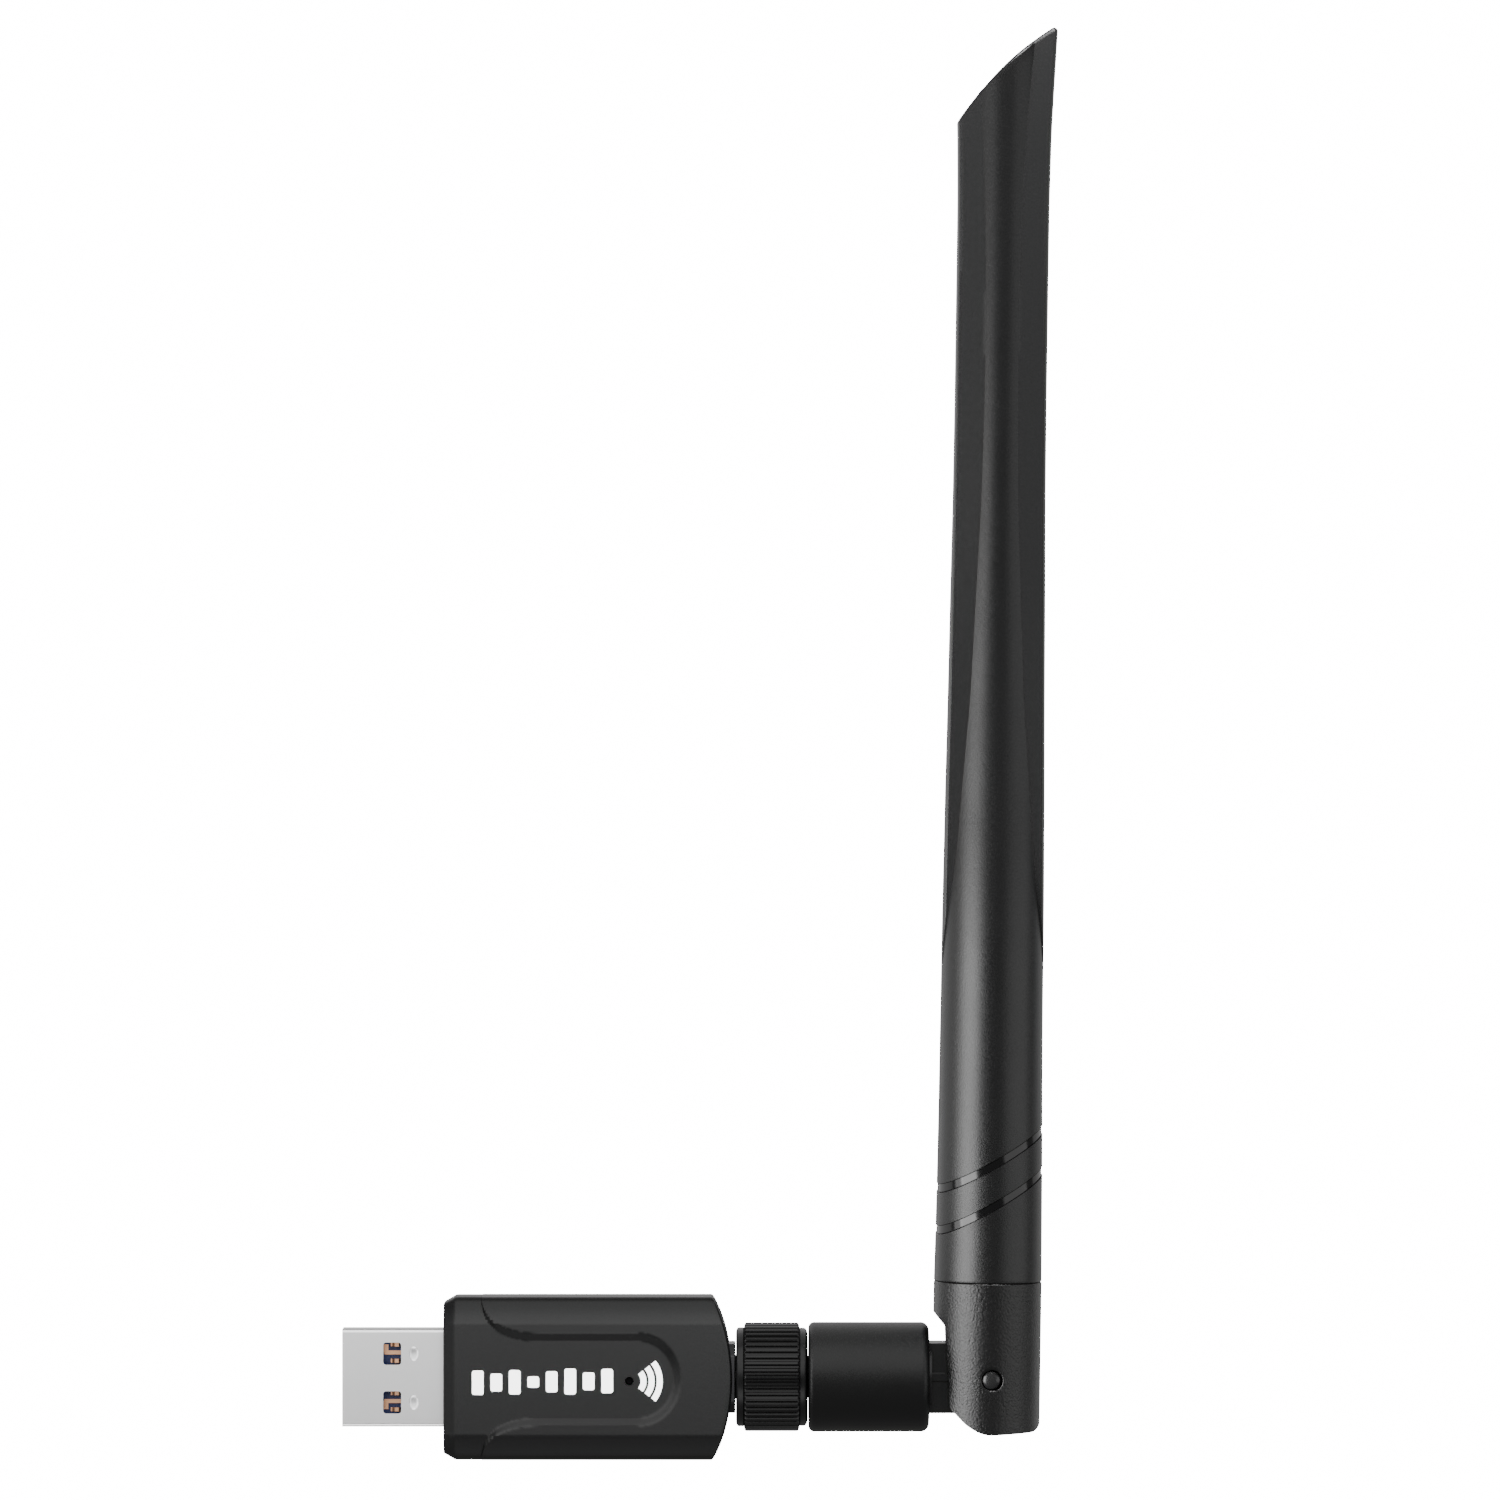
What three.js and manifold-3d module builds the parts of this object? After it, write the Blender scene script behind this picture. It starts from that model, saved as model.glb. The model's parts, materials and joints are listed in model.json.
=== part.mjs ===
// A USB wireless network adapter with a screw-on antenna that swivels and tilts.
// Millimetres, +Z up. The USB plug points along -X and its broad faces look along -Y and +Y. The
// origin is the middle of the plug where it leaves the housing. The antenna stands upright and leans
// slightly toward +X, so its pieces are made in an upright frame about the pivot and then leaned.
import * as THREE from "three";
import { mergeVertices } from "three/addons/utils/BufferGeometryUtils.js";
import Module from "manifold-3d";

const wasm = await Module();
wasm.setup();

// ---------------------------------------------------------------- driving dimensions

const PLUG = { mouth: -12.5, back: 3.8, height: 12, thickness: 4.5, wall: 0.3, corner: 0.4 };
const HOUSING = { length: 35.5, halfHeight: 10.06, halfThickness: 5, endRadius: 23.5 };
const BEVEL = { length: 1.6, depth: 0.9 };
// The rounded shoulder of the housing's section: control points of a cubic curve, as [z, y].
const SHOULDER = [
  [10.06, 2.6],
  [10.06, 3.95],
  [8.6, 4.5],
  [6.9, 5],
];
const CAVITY = { start: 1.6, end: 32.2, heightRatio: 0.86, thicknessRatio: 0.76 };
// The sunken tongue on a broad face: a flare at the plug end, two straight sides, and a round end.
const RECESS = { depth: 0.45, flareStart: 4.7, bandEnd: 24, low: 4.76, high: 5.61, reach: 4.35 };
const BOARD = { start: 4.4, end: 31.6, halfHeight: 8.2, front: 0.1, back: 1.1 };
const POSTS = { x: [6.4, 26.4], z: 7.4, half: 0.8, floor: 3.9 };
const LED = { x: 22.87, z: -0.2, holeRadius: 0.54, pipeRadius: 0.46, pipeFront: -3.9 };

const JACK = { flangeStart: 34.3, flangeEnd: 35.9, halfSquare: 4.25, halfFlat: 2.9, end: 43.2 };
const THREAD = { pitch: 0.70556, core: 2.7, crest: 3.13, nutBore: 3.2, nutCrest: 2.78 };
const RIDGE = { rootHalf: 0.22, crestHalf: 0.06 };
const NUT = { start: 35.97, ribStart: 36.95, ribEnd: 43.8, end: 44.8, collar: 6.1, ribs: 48 };
const RIB = { crest: 6.68, valley: 6.26 };
const BARREL = { start: 44.9, end: 59.75, radius: 6.75 };
const PIVOT = { x: 67.28, lean: 0.84, pinRadius: 1.12, pinEnd: 6.5 };
const PIN_HOLE = { radius: 1.19, sinkRadius: 1.39, sinkFloor: 6.35 };
const TONGUE = { halfHeight: 4.3, halfThickness: 2.7, slot: 1.2 };
const BASE = { axis: -0.44, radius: 6.66, bottom: -6.72, top: 11.8, slotHalf: 2.85, slotReach: 4.75 };
const SPIGOT = { radius: 4.7, top: 18 };
const RADOME = { bottom: 11.82, boardTop: 149, roundTo: 50, flatFrom: 60 };
// Where the antenna cover changes: height, half width, rib half width, rib radius, rib half depth.
const RADOME_STATIONS = [
  [11.82, 6.66, 5.77, 6.66, 6.66],
  [34, 6.4, 5.54, 6.4, 6.4],
  [50, 6.31, 5.46, 6.31, 6.31],
  [60, 6.3, 5.05, 6.3, 5.85],
  [71, 6.16, 4.27, 6.2, 4.75],
  [83.5, 6, 3.28, 5.8, 3.95],
  [96, 5.88, 2.76, 5, 3.5],
  [108, 5.74, 2.25, 4.3, 3.2],
  [120, 5.69, 2.04, 4.2, 3.05],
  [132.5, 5.69, 2, 4.2, 3],
  [145, 5.7, 2.3, 4.4, 3],
  [154, 5.85, 2.7, 4.6, 3.05],
  [168, 6.5, 3.8, 4.8, 3.3],
];
const WING = { slope: 0.15, levelTo: 80, slopedFrom: 110, edge: 0.4 };
const TIP = { left: 155, right: 166.5, leftHalf: 5.8, rightHalf: 6.4, radius: 38 };
const GROOVE = { heights: [21.89, 26.99], width: 1.1, depth: 0.15, rise: 29.6, dip: 7 };
const COAX_RADIUS = 0.6;

const COLOURS = {
  housing_black: 0x1b1c1e,
  plug_steel: 0xc4c6c8,
  usb_blue: 0x1f3a8c,
  contact_gold: 0xc9a14a,
  board_green: 0x17643a,
  chip_black: 0x202022,
  tinned_metal: 0xb9bbbd,
  led_clear: 0xdde6ea,
  jack_nickel: 0x55565a,
  insulator_white: 0xeceae4,
  nut_black: 0x17181a,
  brass: 0xb08d3c,
  spring_steel: 0xa8aaac,
  sleeve_black: 0x232426,
  knuckle_black: 0x1a1b1d,
  antenna_black: 0x2b2d2f,
  coax_grey: 0x3a3a3c,
  copper: 0xb8703a,
};

// ---------------------------------------------------------------- solids

// A manifold from corner positions and corner numbers, turned so that its faces look outward.
function closed(positions, triangles) {
  const build = (corners) =>
    new wasm.Manifold(new wasm.Mesh({
      numProp: 3,
      vertProperties: Float32Array.from(positions),
      triVerts: Uint32Array.from(corners),
    }));
  const made = build(triangles);
  return made.volume() > 0 ? made : build([...triangles].reverse());
}

// A manifold from a closed three.js geometry.
function solid(geometry) {
  const bare = geometry.clone();
  bare.deleteAttribute("normal");
  bare.deleteAttribute("uv");
  const merged = mergeVertices(bare, 1e-5);
  return closed(merged.attributes.position.array, merged.index.array);
}

function geometryOf(shape) {
  const mesh = shape.getMesh();
  const geometry = new THREE.BufferGeometry();
  geometry.setAttribute("position", new THREE.BufferAttribute(mesh.vertProperties, 3));
  geometry.setIndex(new THREE.BufferAttribute(mesh.triVerts, 1));
  const flat = geometry.toNonIndexed();
  flat.computeVertexNormals();
  return flat;
}

function joined(...shapes) {
  return shapes.reduce((all, next) => all.add(next));
}

function box(x0, x1, y0, y1, z0, z1) {
  const geometry = new THREE.BoxGeometry(x1 - x0, y1 - y0, z1 - z0);
  geometry.translate((x0 + x1) / 2, (y0 + y1) / 2, (z0 + z1) / 2);
  return solid(geometry);
}

function extruded(outline, holes, depth, basis) {
  const shape = new THREE.Shape(outline.map(([u, v]) => new THREE.Vector2(u, v)));
  shape.holes = holes.map((hole) => new THREE.Path(hole.map(([u, v]) => new THREE.Vector2(u, v))));
  const geometry = new THREE.ExtrudeGeometry(shape, { depth, bevelEnabled: false, steps: 1 });
  return geometry.applyMatrix4(basis);
}

const AXIS = {
  x: new THREE.Vector3(1, 0, 0),
  y: new THREE.Vector3(0, 1, 0),
  z: new THREE.Vector3(0, 0, 1),
};

// An outline given as [y, z], running along X.
function bar(outline, x0, x1, holes = []) {
  const basis = new THREE.Matrix4().makeBasis(AXIS.y, AXIS.z, AXIS.x).setPosition(x0, 0, 0);
  return solid(extruded(outline, holes, x1 - x0, basis));
}

// An outline given as [x, z], running along Y.
function plate(outline, y0, y1) {
  const back = AXIS.y.clone().negate();
  const basis = new THREE.Matrix4().makeBasis(AXIS.x, AXIS.z, back).setPosition(0, y1, 0);
  return solid(extruded(outline, [], y1 - y0, basis));
}

// A profile of [along, radius] turned about an axis. It starts and ends on the axis or closes on itself.
function turned(profile, axis, segments = 32) {
  const points = profile.map(([along, radius]) => new THREE.Vector2(radius, along));
  const geometry = new THREE.LatheGeometry(points, segments);
  if (axis === "x") geometry.rotateZ(-Math.PI / 2);
  if (axis === "z") geometry.rotateX(Math.PI / 2);
  return solid(geometry);
}

function rod(start, end, radius, axis = "x", segments = 32) {
  return turned([[start, 0], [start, radius], [end, radius], [end, 0]], axis, segments);
}

// A turned body with a stepped bore; both profiles run from low to high along the axis.
function sleeve(outer, bore, axis = "x", segments = 32) {
  return turned([...outer, ...[...bore].reverse(), outer[0]], axis, segments);
}

// A closed body through rings of equal count, each star-shaped about its middle.
function lofted(rings) {
  const count = rings[0].length;
  const positions = rings.flat(2);
  const triangles = [];
  for (let ring = 0; ring + 1 < rings.length; ring++) {
    for (let i = 0; i < count; i++) {
      const a = ring * count + i;
      const b = ring * count + ((i + 1) % count);
      triangles.push(a, b, b + count, a, b + count, a + count);
    }
  }
  capRing(positions, triangles, rings[0], 0, true);
  capRing(positions, triangles, rings.at(-1), (rings.length - 1) * count, false);
  return closed(positions, triangles);
}

function capRing(positions, triangles, ring, first, flip) {
  const middle = positions.length / 3;
  for (const axis of [0, 1, 2]) {
    positions.push(ring.reduce((sum, point) => sum + point[axis], 0) / ring.length);
  }
  for (let i = 0; i < ring.length; i++) {
    const a = first + i;
    const b = first + ((i + 1) % ring.length);
    triangles.push(middle, flip ? b : a, flip ? a : b);
  }
}

// A trapezoid ridge wound as a right-hand helix about the X axis.
function helicalRidge(rootRadius, crestRadius, start, turns) {
  const steps = 16;
  const rings = [];
  for (let i = 0; i <= turns * steps; i++) {
    const angle = (i / steps) * 2 * Math.PI;
    const x = start + (i / steps) * THREAD.pitch;
    const corner = (offset, radius) => [x + offset, radius * Math.cos(angle), radius * Math.sin(angle)];
    rings.push([
      corner(-RIDGE.rootHalf, rootRadius),
      corner(RIDGE.rootHalf, rootRadius),
      corner(RIDGE.crestHalf, crestRadius),
      corner(-RIDGE.crestHalf, crestRadius),
    ]);
  }
  return lofted(rings);
}

// A half outline of [x, z] above the middle line, closed by its mirror image below.
function mirrored(upper) {
  return [...upper, ...upper.map(([x, z]) => [x, -z]).reverse()];
}

function roundedRectangle(halfWidth, halfHeight, corner, steps = 3) {
  const points = [];
  for (let quarter = 0; quarter < 4; quarter++) {
    const u = (quarter === 0 || quarter === 3 ? 1 : -1) * (halfWidth - corner);
    const v = (quarter < 2 ? 1 : -1) * (halfHeight - corner);
    for (let i = 0; i <= steps; i++) {
      const angle = ((quarter + i / steps) * Math.PI) / 2;
      points.push([u + corner * Math.cos(angle), v + corner * Math.sin(angle)]);
    }
  }
  return points;
}

function shifted(outline, du, dv) {
  return outline.map(([u, v]) => [u + du, v + dv]);
}

// ---------------------------------------------------------------- housing

function shoulderPoint(t) {
  const weights = [(1 - t) ** 3, 3 * t * (1 - t) ** 2, 3 * t * t * (1 - t), t ** 3];
  return [0, 1].map((axis) => weights.reduce((sum, w, i) => sum + w * SHOULDER[i][axis], 0));
}

function housingRing(x, inset, heightRatio = 1, thicknessRatio = 1) {
  const shoulder = [0, 0.2, 0.4, 0.7, 1].map(shoulderPoint);
  const quarter = shoulder.map(([z, y]) => [(z - inset) * heightRatio, (y - inset) * thicknessRatio]);
  const back = [...quarter, ...quarter.map(([z, y]) => [-z, y]).reverse()];
  const front = back.map(([z, y]) => [-z, -y]);
  return [...back, ...front].map(([z, y]) => [x, y, z]);
}

function housingEnd(halfSpan) {
  const points = [];
  for (let i = 0; i <= 12; i++) {
    const z = halfSpan * (1 - i / 6);
    const sag = HOUSING.endRadius - Math.sqrt(HOUSING.endRadius ** 2 - z ** 2);
    points.push([HOUSING.length - sag, z]);
  }
  return points;
}

function housingBody() {
  const blank = lofted([
    housingRing(0, BEVEL.depth),
    housingRing(BEVEL.length, 0),
    housingRing(HOUSING.length + 1, 0),
  ]);
  const outline = [[-1, -12], [-1, 12], ...housingEnd(HOUSING.halfHeight + 0.5)];
  return blank.intersect(plate(outline, -6, 6));
}

// The edge of the sunken tongue, at its floor (0) or at its rim (1).
function recessOutline(rim) {
  const { flareStart, bandEnd, low, high, reach } = RECESS;
  const half = low + (high - low) * rim;
  const span = 6.8 + 0.6 * rim;
  const upper = [[-2, 12], [flareStart, 12]];
  for (let i = 0; i <= 8; i++) {
    const share = (i / 8) ** 2;
    const height = half + (HOUSING.halfHeight - half) * (1 - i / 8) ** 1.85;
    upper.push([flareStart + 0.02 + span * share, height]);
  }
  const radiusX = reach + (high - low) * rim;
  for (let i = 0; i < 8; i++) {
    const angle = (i / 8) * (Math.PI / 2);
    upper.push([bandEnd + radiusX * Math.sin(angle), half * Math.cos(angle)]);
  }
  return [...upper, [bandEnd + radiusX, 0], ...upper.map(([x, z]) => [x, -z]).reverse()];
}

// What the sunken tongue takes off the front face (side = -1) or the back face (side = 1).
function recessCut(side) {
  const level = (rim, depth) => recessOutline(rim).map(([x, z]) => [x, side * depth, z]);
  const wedge = lofted([
    level(0, 2),
    level(0, HOUSING.halfThickness - RECESS.depth),
    level(1, HOUSING.halfThickness),
    level(1, HOUSING.halfThickness + 1),
  ]);
  const sunken = lofted([0, BEVEL.length, 40].map((x, i) => {
    const ring = housingRing(x - (i ? 0 : 0.001), i ? 0 : BEVEL.depth);
    return ring.map(([px, y, z]) => [px, y - Math.sign(y) * RECESS.depth, z * 1.05]);
  }));
  return wedge.subtract(sunken);
}

function cavity() {
  const { start, end, heightRatio, thicknessRatio } = CAVITY;
  return lofted([start, end].map((x) => housingRing(x, 0, heightRatio, thicknessRatio)));
}

function jackOpening() {
  const square = squareWithCutCorners(JACK.halfSquare + 0.05, JACK.halfFlat);
  return bar(square, JACK.flangeStart, 40).add(rod(30, 35, 3.15));
}

function squareWithCutCorners(half, flat) {
  return [
    [half, -flat], [half, flat], [flat, half], [-flat, half],
    [-half, flat], [-half, -flat], [-flat, -half], [flat, -half],
  ];
}

function posts(y0, y1) {
  return POSTS.x.flatMap((x) =>
    [-POSTS.z, POSTS.z].map((z) =>
      box(x - POSTS.half, x + POSTS.half, y0, y1, z - POSTS.half, z + POSTS.half)));
}

function plugOpening() {
  const y = PLUG.thickness / 2 + 0.05;
  const z = PLUG.height / 2 + 0.05;
  return box(-1, CAVITY.start + 0.5, -y, y, -z, z);
}

// The half of the housing on one side of the middle plane.
function cover(side) {
  const half = side < 0 ? box(-1, 40, -8, 0, -12, 12) : box(-1, 40, 0, 8, -12, 12);
  const shell = housingBody().subtract(cavity()).intersect(half);
  const open = shell.subtract(plugOpening()).subtract(jackOpening()).subtract(recessCut(side));
  const supports = side < 0 ? posts(-POSTS.floor, BOARD.front) : posts(BOARD.back, POSTS.floor);
  return joined(open, ...supports);
}

function frontCover() {
  const hole = rod(-6, -2, LED.holeRadius, "y", 20);
  return cover(-1).subtract(hole.translate(LED.x, 0, LED.z));
}

// ---------------------------------------------------------------- USB plug

function usbShell() {
  const { mouth, back, height, thickness, wall, corner } = PLUG;
  const outer = roundedRectangle(thickness / 2, height / 2, corner);
  const inner = roundedRectangle(thickness / 2 - wall, height / 2 - wall, corner - 0.2);
  const tube = bar(outer, mouth, back, [inner]);
  return [-3, 3].reduce((shell, z) => {
    const window = plate(shifted(roundedRectangle(1.1, 1.375, 0.3), -6.34, z), -4, 4);
    const dents = [-1, 1].map((side) => dent(-3.67, (side * thickness) / 2, z));
    return shell.subtract(window).subtract(joined(...dents));
  }, tube);
}

// A shallow oval dimple pressed into a broad face of the plug.
function dent(x, y, z) {
  const ball = new THREE.SphereGeometry(1, 16, 8);
  return solid(ball.scale(0.58, 0.2, 0.9).translate(x, y, z));
}

function usbInsulator() {
  const half = PLUG.height / 2 - PLUG.wall - 0.25;
  const inner = PLUG.thickness / 2 - PLUG.wall;
  const tongue = box(-12.2, 4.1, 0.1, inner, -half, half);
  const block = box(0.4, 2.6, -inner, 0.3, -half, half);
  const slots = [-4, -3, -2, -1, 0, 1, 2, 3, 4].map((z) => box(0, 3, -0.12, 0.1, z - 0.29, z + 0.29));
  return joined(tongue, block.subtract(joined(...slots)));
}

// A long thin contact with a wide pad at the plug mouth.
function wideContact(padZ, tailZ) {
  const pad = box(-11.4, -7.3, -0.1, 0.1, padZ - 0.5, padZ + 0.5);
  const low = Math.min(padZ - 0.5, tailZ - 0.25);
  const high = Math.max(padZ + 0.5, tailZ + 0.25);
  const neck = box(-7.4, -6.9, -0.1, 0.1, low, high);
  const tail = box(-7, 6.6, -0.1, 0.1, tailZ - 0.25, tailZ + 0.25);
  return joined(pad, neck, tail);
}

// A short spring contact behind the pads, with a raised touching point.
function springContact(z) {
  const strip = box(-6.6, 6.6, -0.1, 0.1, z - 0.25, z + 0.25);
  const hump = plate([[-6.5, 0], [-6.1, 0.5], [-5.6, 0.5], [-4.6, 0]], z - 0.25, z + 0.25);
  const turn = new THREE.Matrix4().makeBasis(AXIS.x, AXIS.z, AXIS.y.clone().negate());
  return strip.add(solid(geometryOf(hump).applyMatrix4(turn)));
}

// ---------------------------------------------------------------- circuit board

function shieldCan() {
  const outer = box(8.6, 19.8, -1.5, BOARD.front, -6.2, 5.8);
  const inside = box(8.8, 19.6, -1.3, BOARD.front + 1, -6, 5.6);
  return outer.subtract(inside);
}

function onBoard(x, z, length, height, tall) {
  const y = BOARD.front - tall;
  return box(x - length / 2, x + length / 2, y, BOARD.front, z - height / 2, z + height / 2);
}

function lightPipe() {
  const { pipeFront, pipeRadius } = LED;
  const profile = [[pipeFront, 0], [pipeFront, pipeRadius], [-0.6, pipeRadius], [-0.6, 0]];
  return turned(profile, "y", 20).translate(LED.x, 0, LED.z);
}

// ---------------------------------------------------------------- antenna jack and plug

function jackBody() {
  const { flangeStart, flangeEnd, halfSquare, halfFlat, end } = JACK;
  const flange = bar(squareWithCutCorners(halfSquare, halfFlat), flangeStart, flangeEnd);
  const stem = rod(31.9, end, THREAD.core);
  const collar = rod(31.9, flangeStart + 0.1, 3);
  const start = flangeEnd + 0.6;
  const thread = helicalRidge(THREAD.core - 0.1, THREAD.crest, start, 9);
  const legs = [-2.4, 2.4].flatMap((z) => [
    box(28.2, 32, BOARD.front - 0.8, BOARD.front, z - 0.5, z + 0.5),
    box(28.2, 32, BOARD.back, BOARD.back + 0.8, z - 0.5, z + 0.5),
  ]);
  const bore = turned([
    [31, 0], [31, 1.5], [32.3, 1.5], [32.3, 2.05], [41.5, 2.05], [41.5, 2.3], [44, 2.3], [44, 0],
  ], "x");
  const gap = box(28, 31.9, -0.9, 2, -1.6, 1.6);
  return joined(flange, stem, collar, thread).subtract(bore).add(joined(...legs)).subtract(gap);
}

function jackInsulator() {
  return sleeve([[32.3, 2], [41.4, 2]], [[32.3, 0.5], [41.4, 0.5]], "x", 24);
}

function jackPin() {
  const pin = rod(31.7, 42.9, 0.45, "x", 16);
  return pin.add(box(28.8, 32.2, -0.3, BOARD.front, -0.35, 0.35));
}

// Straight ribs around the nut: a ring whose radius goes up and down once for each rib.
function ribbedRing(x, crest, valley) {
  const ring = [];
  for (let rib = 0; rib < NUT.ribs; rib++) {
    for (const [part, radius] of [[0.1, valley], [0.35, crest], [0.65, crest], [0.9, valley]]) {
      const angle = ((rib + part) / NUT.ribs) * 2 * Math.PI;
      ring.push([x, radius * Math.cos(angle), radius * Math.sin(angle)]);
    }
  }
  return ring;
}

function nutGrip() {
  const { start, ribStart, ribEnd, end, collar } = NUT;
  const edge = 0.35;
  const body = turned([
    [start, 0], [start, collar - edge], [start + edge, collar], [ribStart, collar],
    [ribStart, RIB.valley], [ribEnd, RIB.valley], [ribEnd, collar - 0.05],
    [end - edge, collar - 0.05], [end, collar - edge - 0.05], [end, 0],
  ], "x", NUT.ribs);
  const ribs = lofted([ribStart, ribEnd].map((x) => ribbedRing(x, RIB.crest, RIB.valley)));
  const bore = turned([
    [35, 0], [35, 4.4], [43, 4.4], [43, 3.5], [44.02, 3.5], [44.02, 3.95],
    [44.38, 3.95], [44.38, 3.5], [46, 3.5], [46, 0],
  ], "x");
  return body.add(ribs).subtract(bore);
}

function nutThreadInsert() {
  const tube = sleeve([[36.2, 4.33], [43, 4.33]], [[36.2, THREAD.nutBore], [43, THREAD.nutBore]]);
  const start = JACK.flangeEnd + 0.6 + THREAD.pitch / 2;
  return tube.add(helicalRidge(THREAD.nutBore + 0.12, THREAD.nutCrest, start, 8.25));
}

function snapRing() {
  const ring = sleeve([[44.06, 3.85], [44.34, 3.85]], [[44.06, 2.8], [44.34, 2.8]]);
  return ring.subtract(box(44, 45, -0.5, 0.5, 2, 5));
}

function plugShell() {
  return sleeve(
    [[41.7, 2.2], [43.25, 2.2], [43.25, 3.3], [44, 3.3], [44, 2.6], [46.02, 2.6], [46.02, 3.5], [51.5, 3.5]],
    [[41.7, 1.6], [49.5, 1.6], [49.5, 0.75], [51.5, 0.75]],
  );
}

function plugDielectric() {
  return sleeve([[41.8, 1.55], [49.5, 1.55]], [[41.8, 0.9], [49.5, 0.9]], "x", 24);
}

function plugContact() {
  const tube = rod(41.8, 49.4, 0.82, "x", 16).subtract(rod(41, 44.6, 0.55, "x", 16));
  return tube.subtract(box(41, 43.8, -0.1, 0.1, -2, 2));
}

function crimpFerrule() {
  return sleeve([[51.5, 1.35], [54.2, 1.35]], [[51.5, 0.75], [54.2, 0.75]], "x", 20);
}

// ---------------------------------------------------------------- swivel and knuckle

function swivelBarrel() {
  const { start, end, radius } = BARREL;
  const outer = [
    [start, radius - 0.7], [start + 0.2, radius - 0.2], [start + 0.7, radius],
    [end - 1, radius], [end - 0.3, radius - 0.3], [end, radius - 1],
  ];
  const bore = [[start, 2.78], [45.9, 2.78], [45.9, 3.65], [51.7, 3.65], [51.7, 4.4], [end, 4.4]];
  return sleeve(outer, bore, "x", 48);
}

function tongueOutline() {
  const { halfHeight } = TONGUE;
  const points = [[BARREL.end + 0.03, -halfHeight]];
  for (let i = 0; i <= 16; i++) {
    const angle = (i / 16 - 0.5) * Math.PI;
    points.push([PIVOT.x + halfHeight * Math.cos(angle), halfHeight * Math.sin(angle)]);
  }
  return [...points, [BARREL.end + 0.03, halfHeight]];
}

function knuckle() {
  const { halfThickness, slot } = TONGUE;
  const stem = rod(51.7, BARREL.end + 0.3, 4.3);
  const tongue = plate(tongueOutline(), -halfThickness, halfThickness);
  const rib = box(BARREL.end + 0.03, 62.6, -halfThickness - 0.12, halfThickness, -0.4, 0.7);
  const bore = turned([[50, 0], [50, 1.6], [54.6, 1.6], [54.6, 1], [65, 1], [65, 0]], "x", 24);
  const coaxSlot = box(PIVOT.x - 4.2, PIVOT.x + 6, -slot, slot, -1, 6);
  const pinHole = rod(-4, 4, PIVOT.pinRadius + 0.04, "y", 32).translate(PIVOT.x, 0, 0);
  return joined(stem, tongue, rib).subtract(bore).subtract(coaxSlot).subtract(pinHole);
}

// One of the two half pins, domed at its outer end. The coax passes between them.
function pivotPin(side) {
  const { pinRadius, pinEnd } = PIVOT;
  const start = TONGUE.slot + 0.05;
  const dome = [[0.3, 1], [0.13, 0.82], [0.03, 0.45], [0, 0]];
  const end = dome.map(([drop, share]) => [pinEnd - drop, share * pinRadius]);
  const profile = [[start, 0], [start, pinRadius], ...end];
  const pin = turned(profile, "y", 32);
  return (side < 0 ? pin.rotate([180, 0, 0]) : pin).translate(PIVOT.x, 0, 0);
}

function coaxBend() {
  const radius = 2.6;
  const turn = { x: PIVOT.x + BASE.axis - radius, z: radius };
  const start = 63.5;
  const rings = [coaxRing(start, 0, 0)];
  for (let i = 0; i <= 6; i++) {
    const angle = (i / 6) * (Math.PI / 2);
    rings.push(coaxRing(turn.x + radius * Math.sin(angle), turn.z - radius * Math.cos(angle), angle));
  }
  rings.push(coaxRing(turn.x + radius, 3.6, Math.PI / 2));
  return lofted(rings);
}

// A round section of the coax at a place on its bend, square to its direction.
function coaxRing(x, z, angle) {
  const ring = [];
  for (let i = 0; i < 12; i++) {
    const around = (i / 12) * 2 * Math.PI;
    const up = COAX_RADIUS * Math.sin(around);
    ring.push([x - up * Math.sin(angle), COAX_RADIUS * Math.cos(around), z + up * Math.cos(angle)]);
  }
  return ring;
}

// ---------------------------------------------------------------- antenna, in its upright frame

// The outline reaches past the spigot, so it shapes only the lower end.
const OUTLINE_TOP = 20;

function baseOutline() {
  return [
    [-7.3, OUTLINE_TOP], [-7.3, 8.2], [-5.62, 6.3], [-5.05, -3.1], [-4.65, -3.95], [-3.7, -4.88],
    [-2.3, -5.98], [-1.1, -6.53], [0.5, BASE.bottom], [4.7, -6.52], [5.7, -6.05], [6.3, -5.1],
    [6.3, OUTLINE_TOP],
  ];
}

function antennaBase() {
  const { axis, radius, bottom, top, slotHalf, slotReach } = BASE;
  const round = rod(bottom, top, radius, "z", 48).add(rod(top - 1, SPIGOT.top, SPIGOT.radius, "z", 48));
  const body = round.translate(axis, 0, 0).intersect(plate(baseOutline(), -8, 8));
  const slot = box(-9, slotReach, -slotHalf, slotHalf, -9, slotReach);
  const channel = rod(0, 30, 0.9, "z", 20).translate(axis, 0, 0);
  const { radius: holeRadius, sinkRadius, sinkFloor } = PIN_HOLE;
  const pinHole = joined(
    rod(-8, 8, holeRadius, "y", 32),
    rod(-8, -sinkFloor, sinkRadius, "y", 32),
    rod(sinkFloor, 8, sinkRadius, "y", 32),
  );
  return body.subtract(slot).subtract(channel).subtract(pinHole);
}

function between(stations, height) {
  const above = stations.findIndex((station) => station[0] >= height);
  if (above <= 0) return stations[Math.max(above, 0)];
  const [low, high] = [stations[above - 1], stations[above]];
  const share = (height - low[0]) / (high[0] - low[0]);
  return low.map((value, i) => value + (high[i] - value) * share);
}

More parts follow.
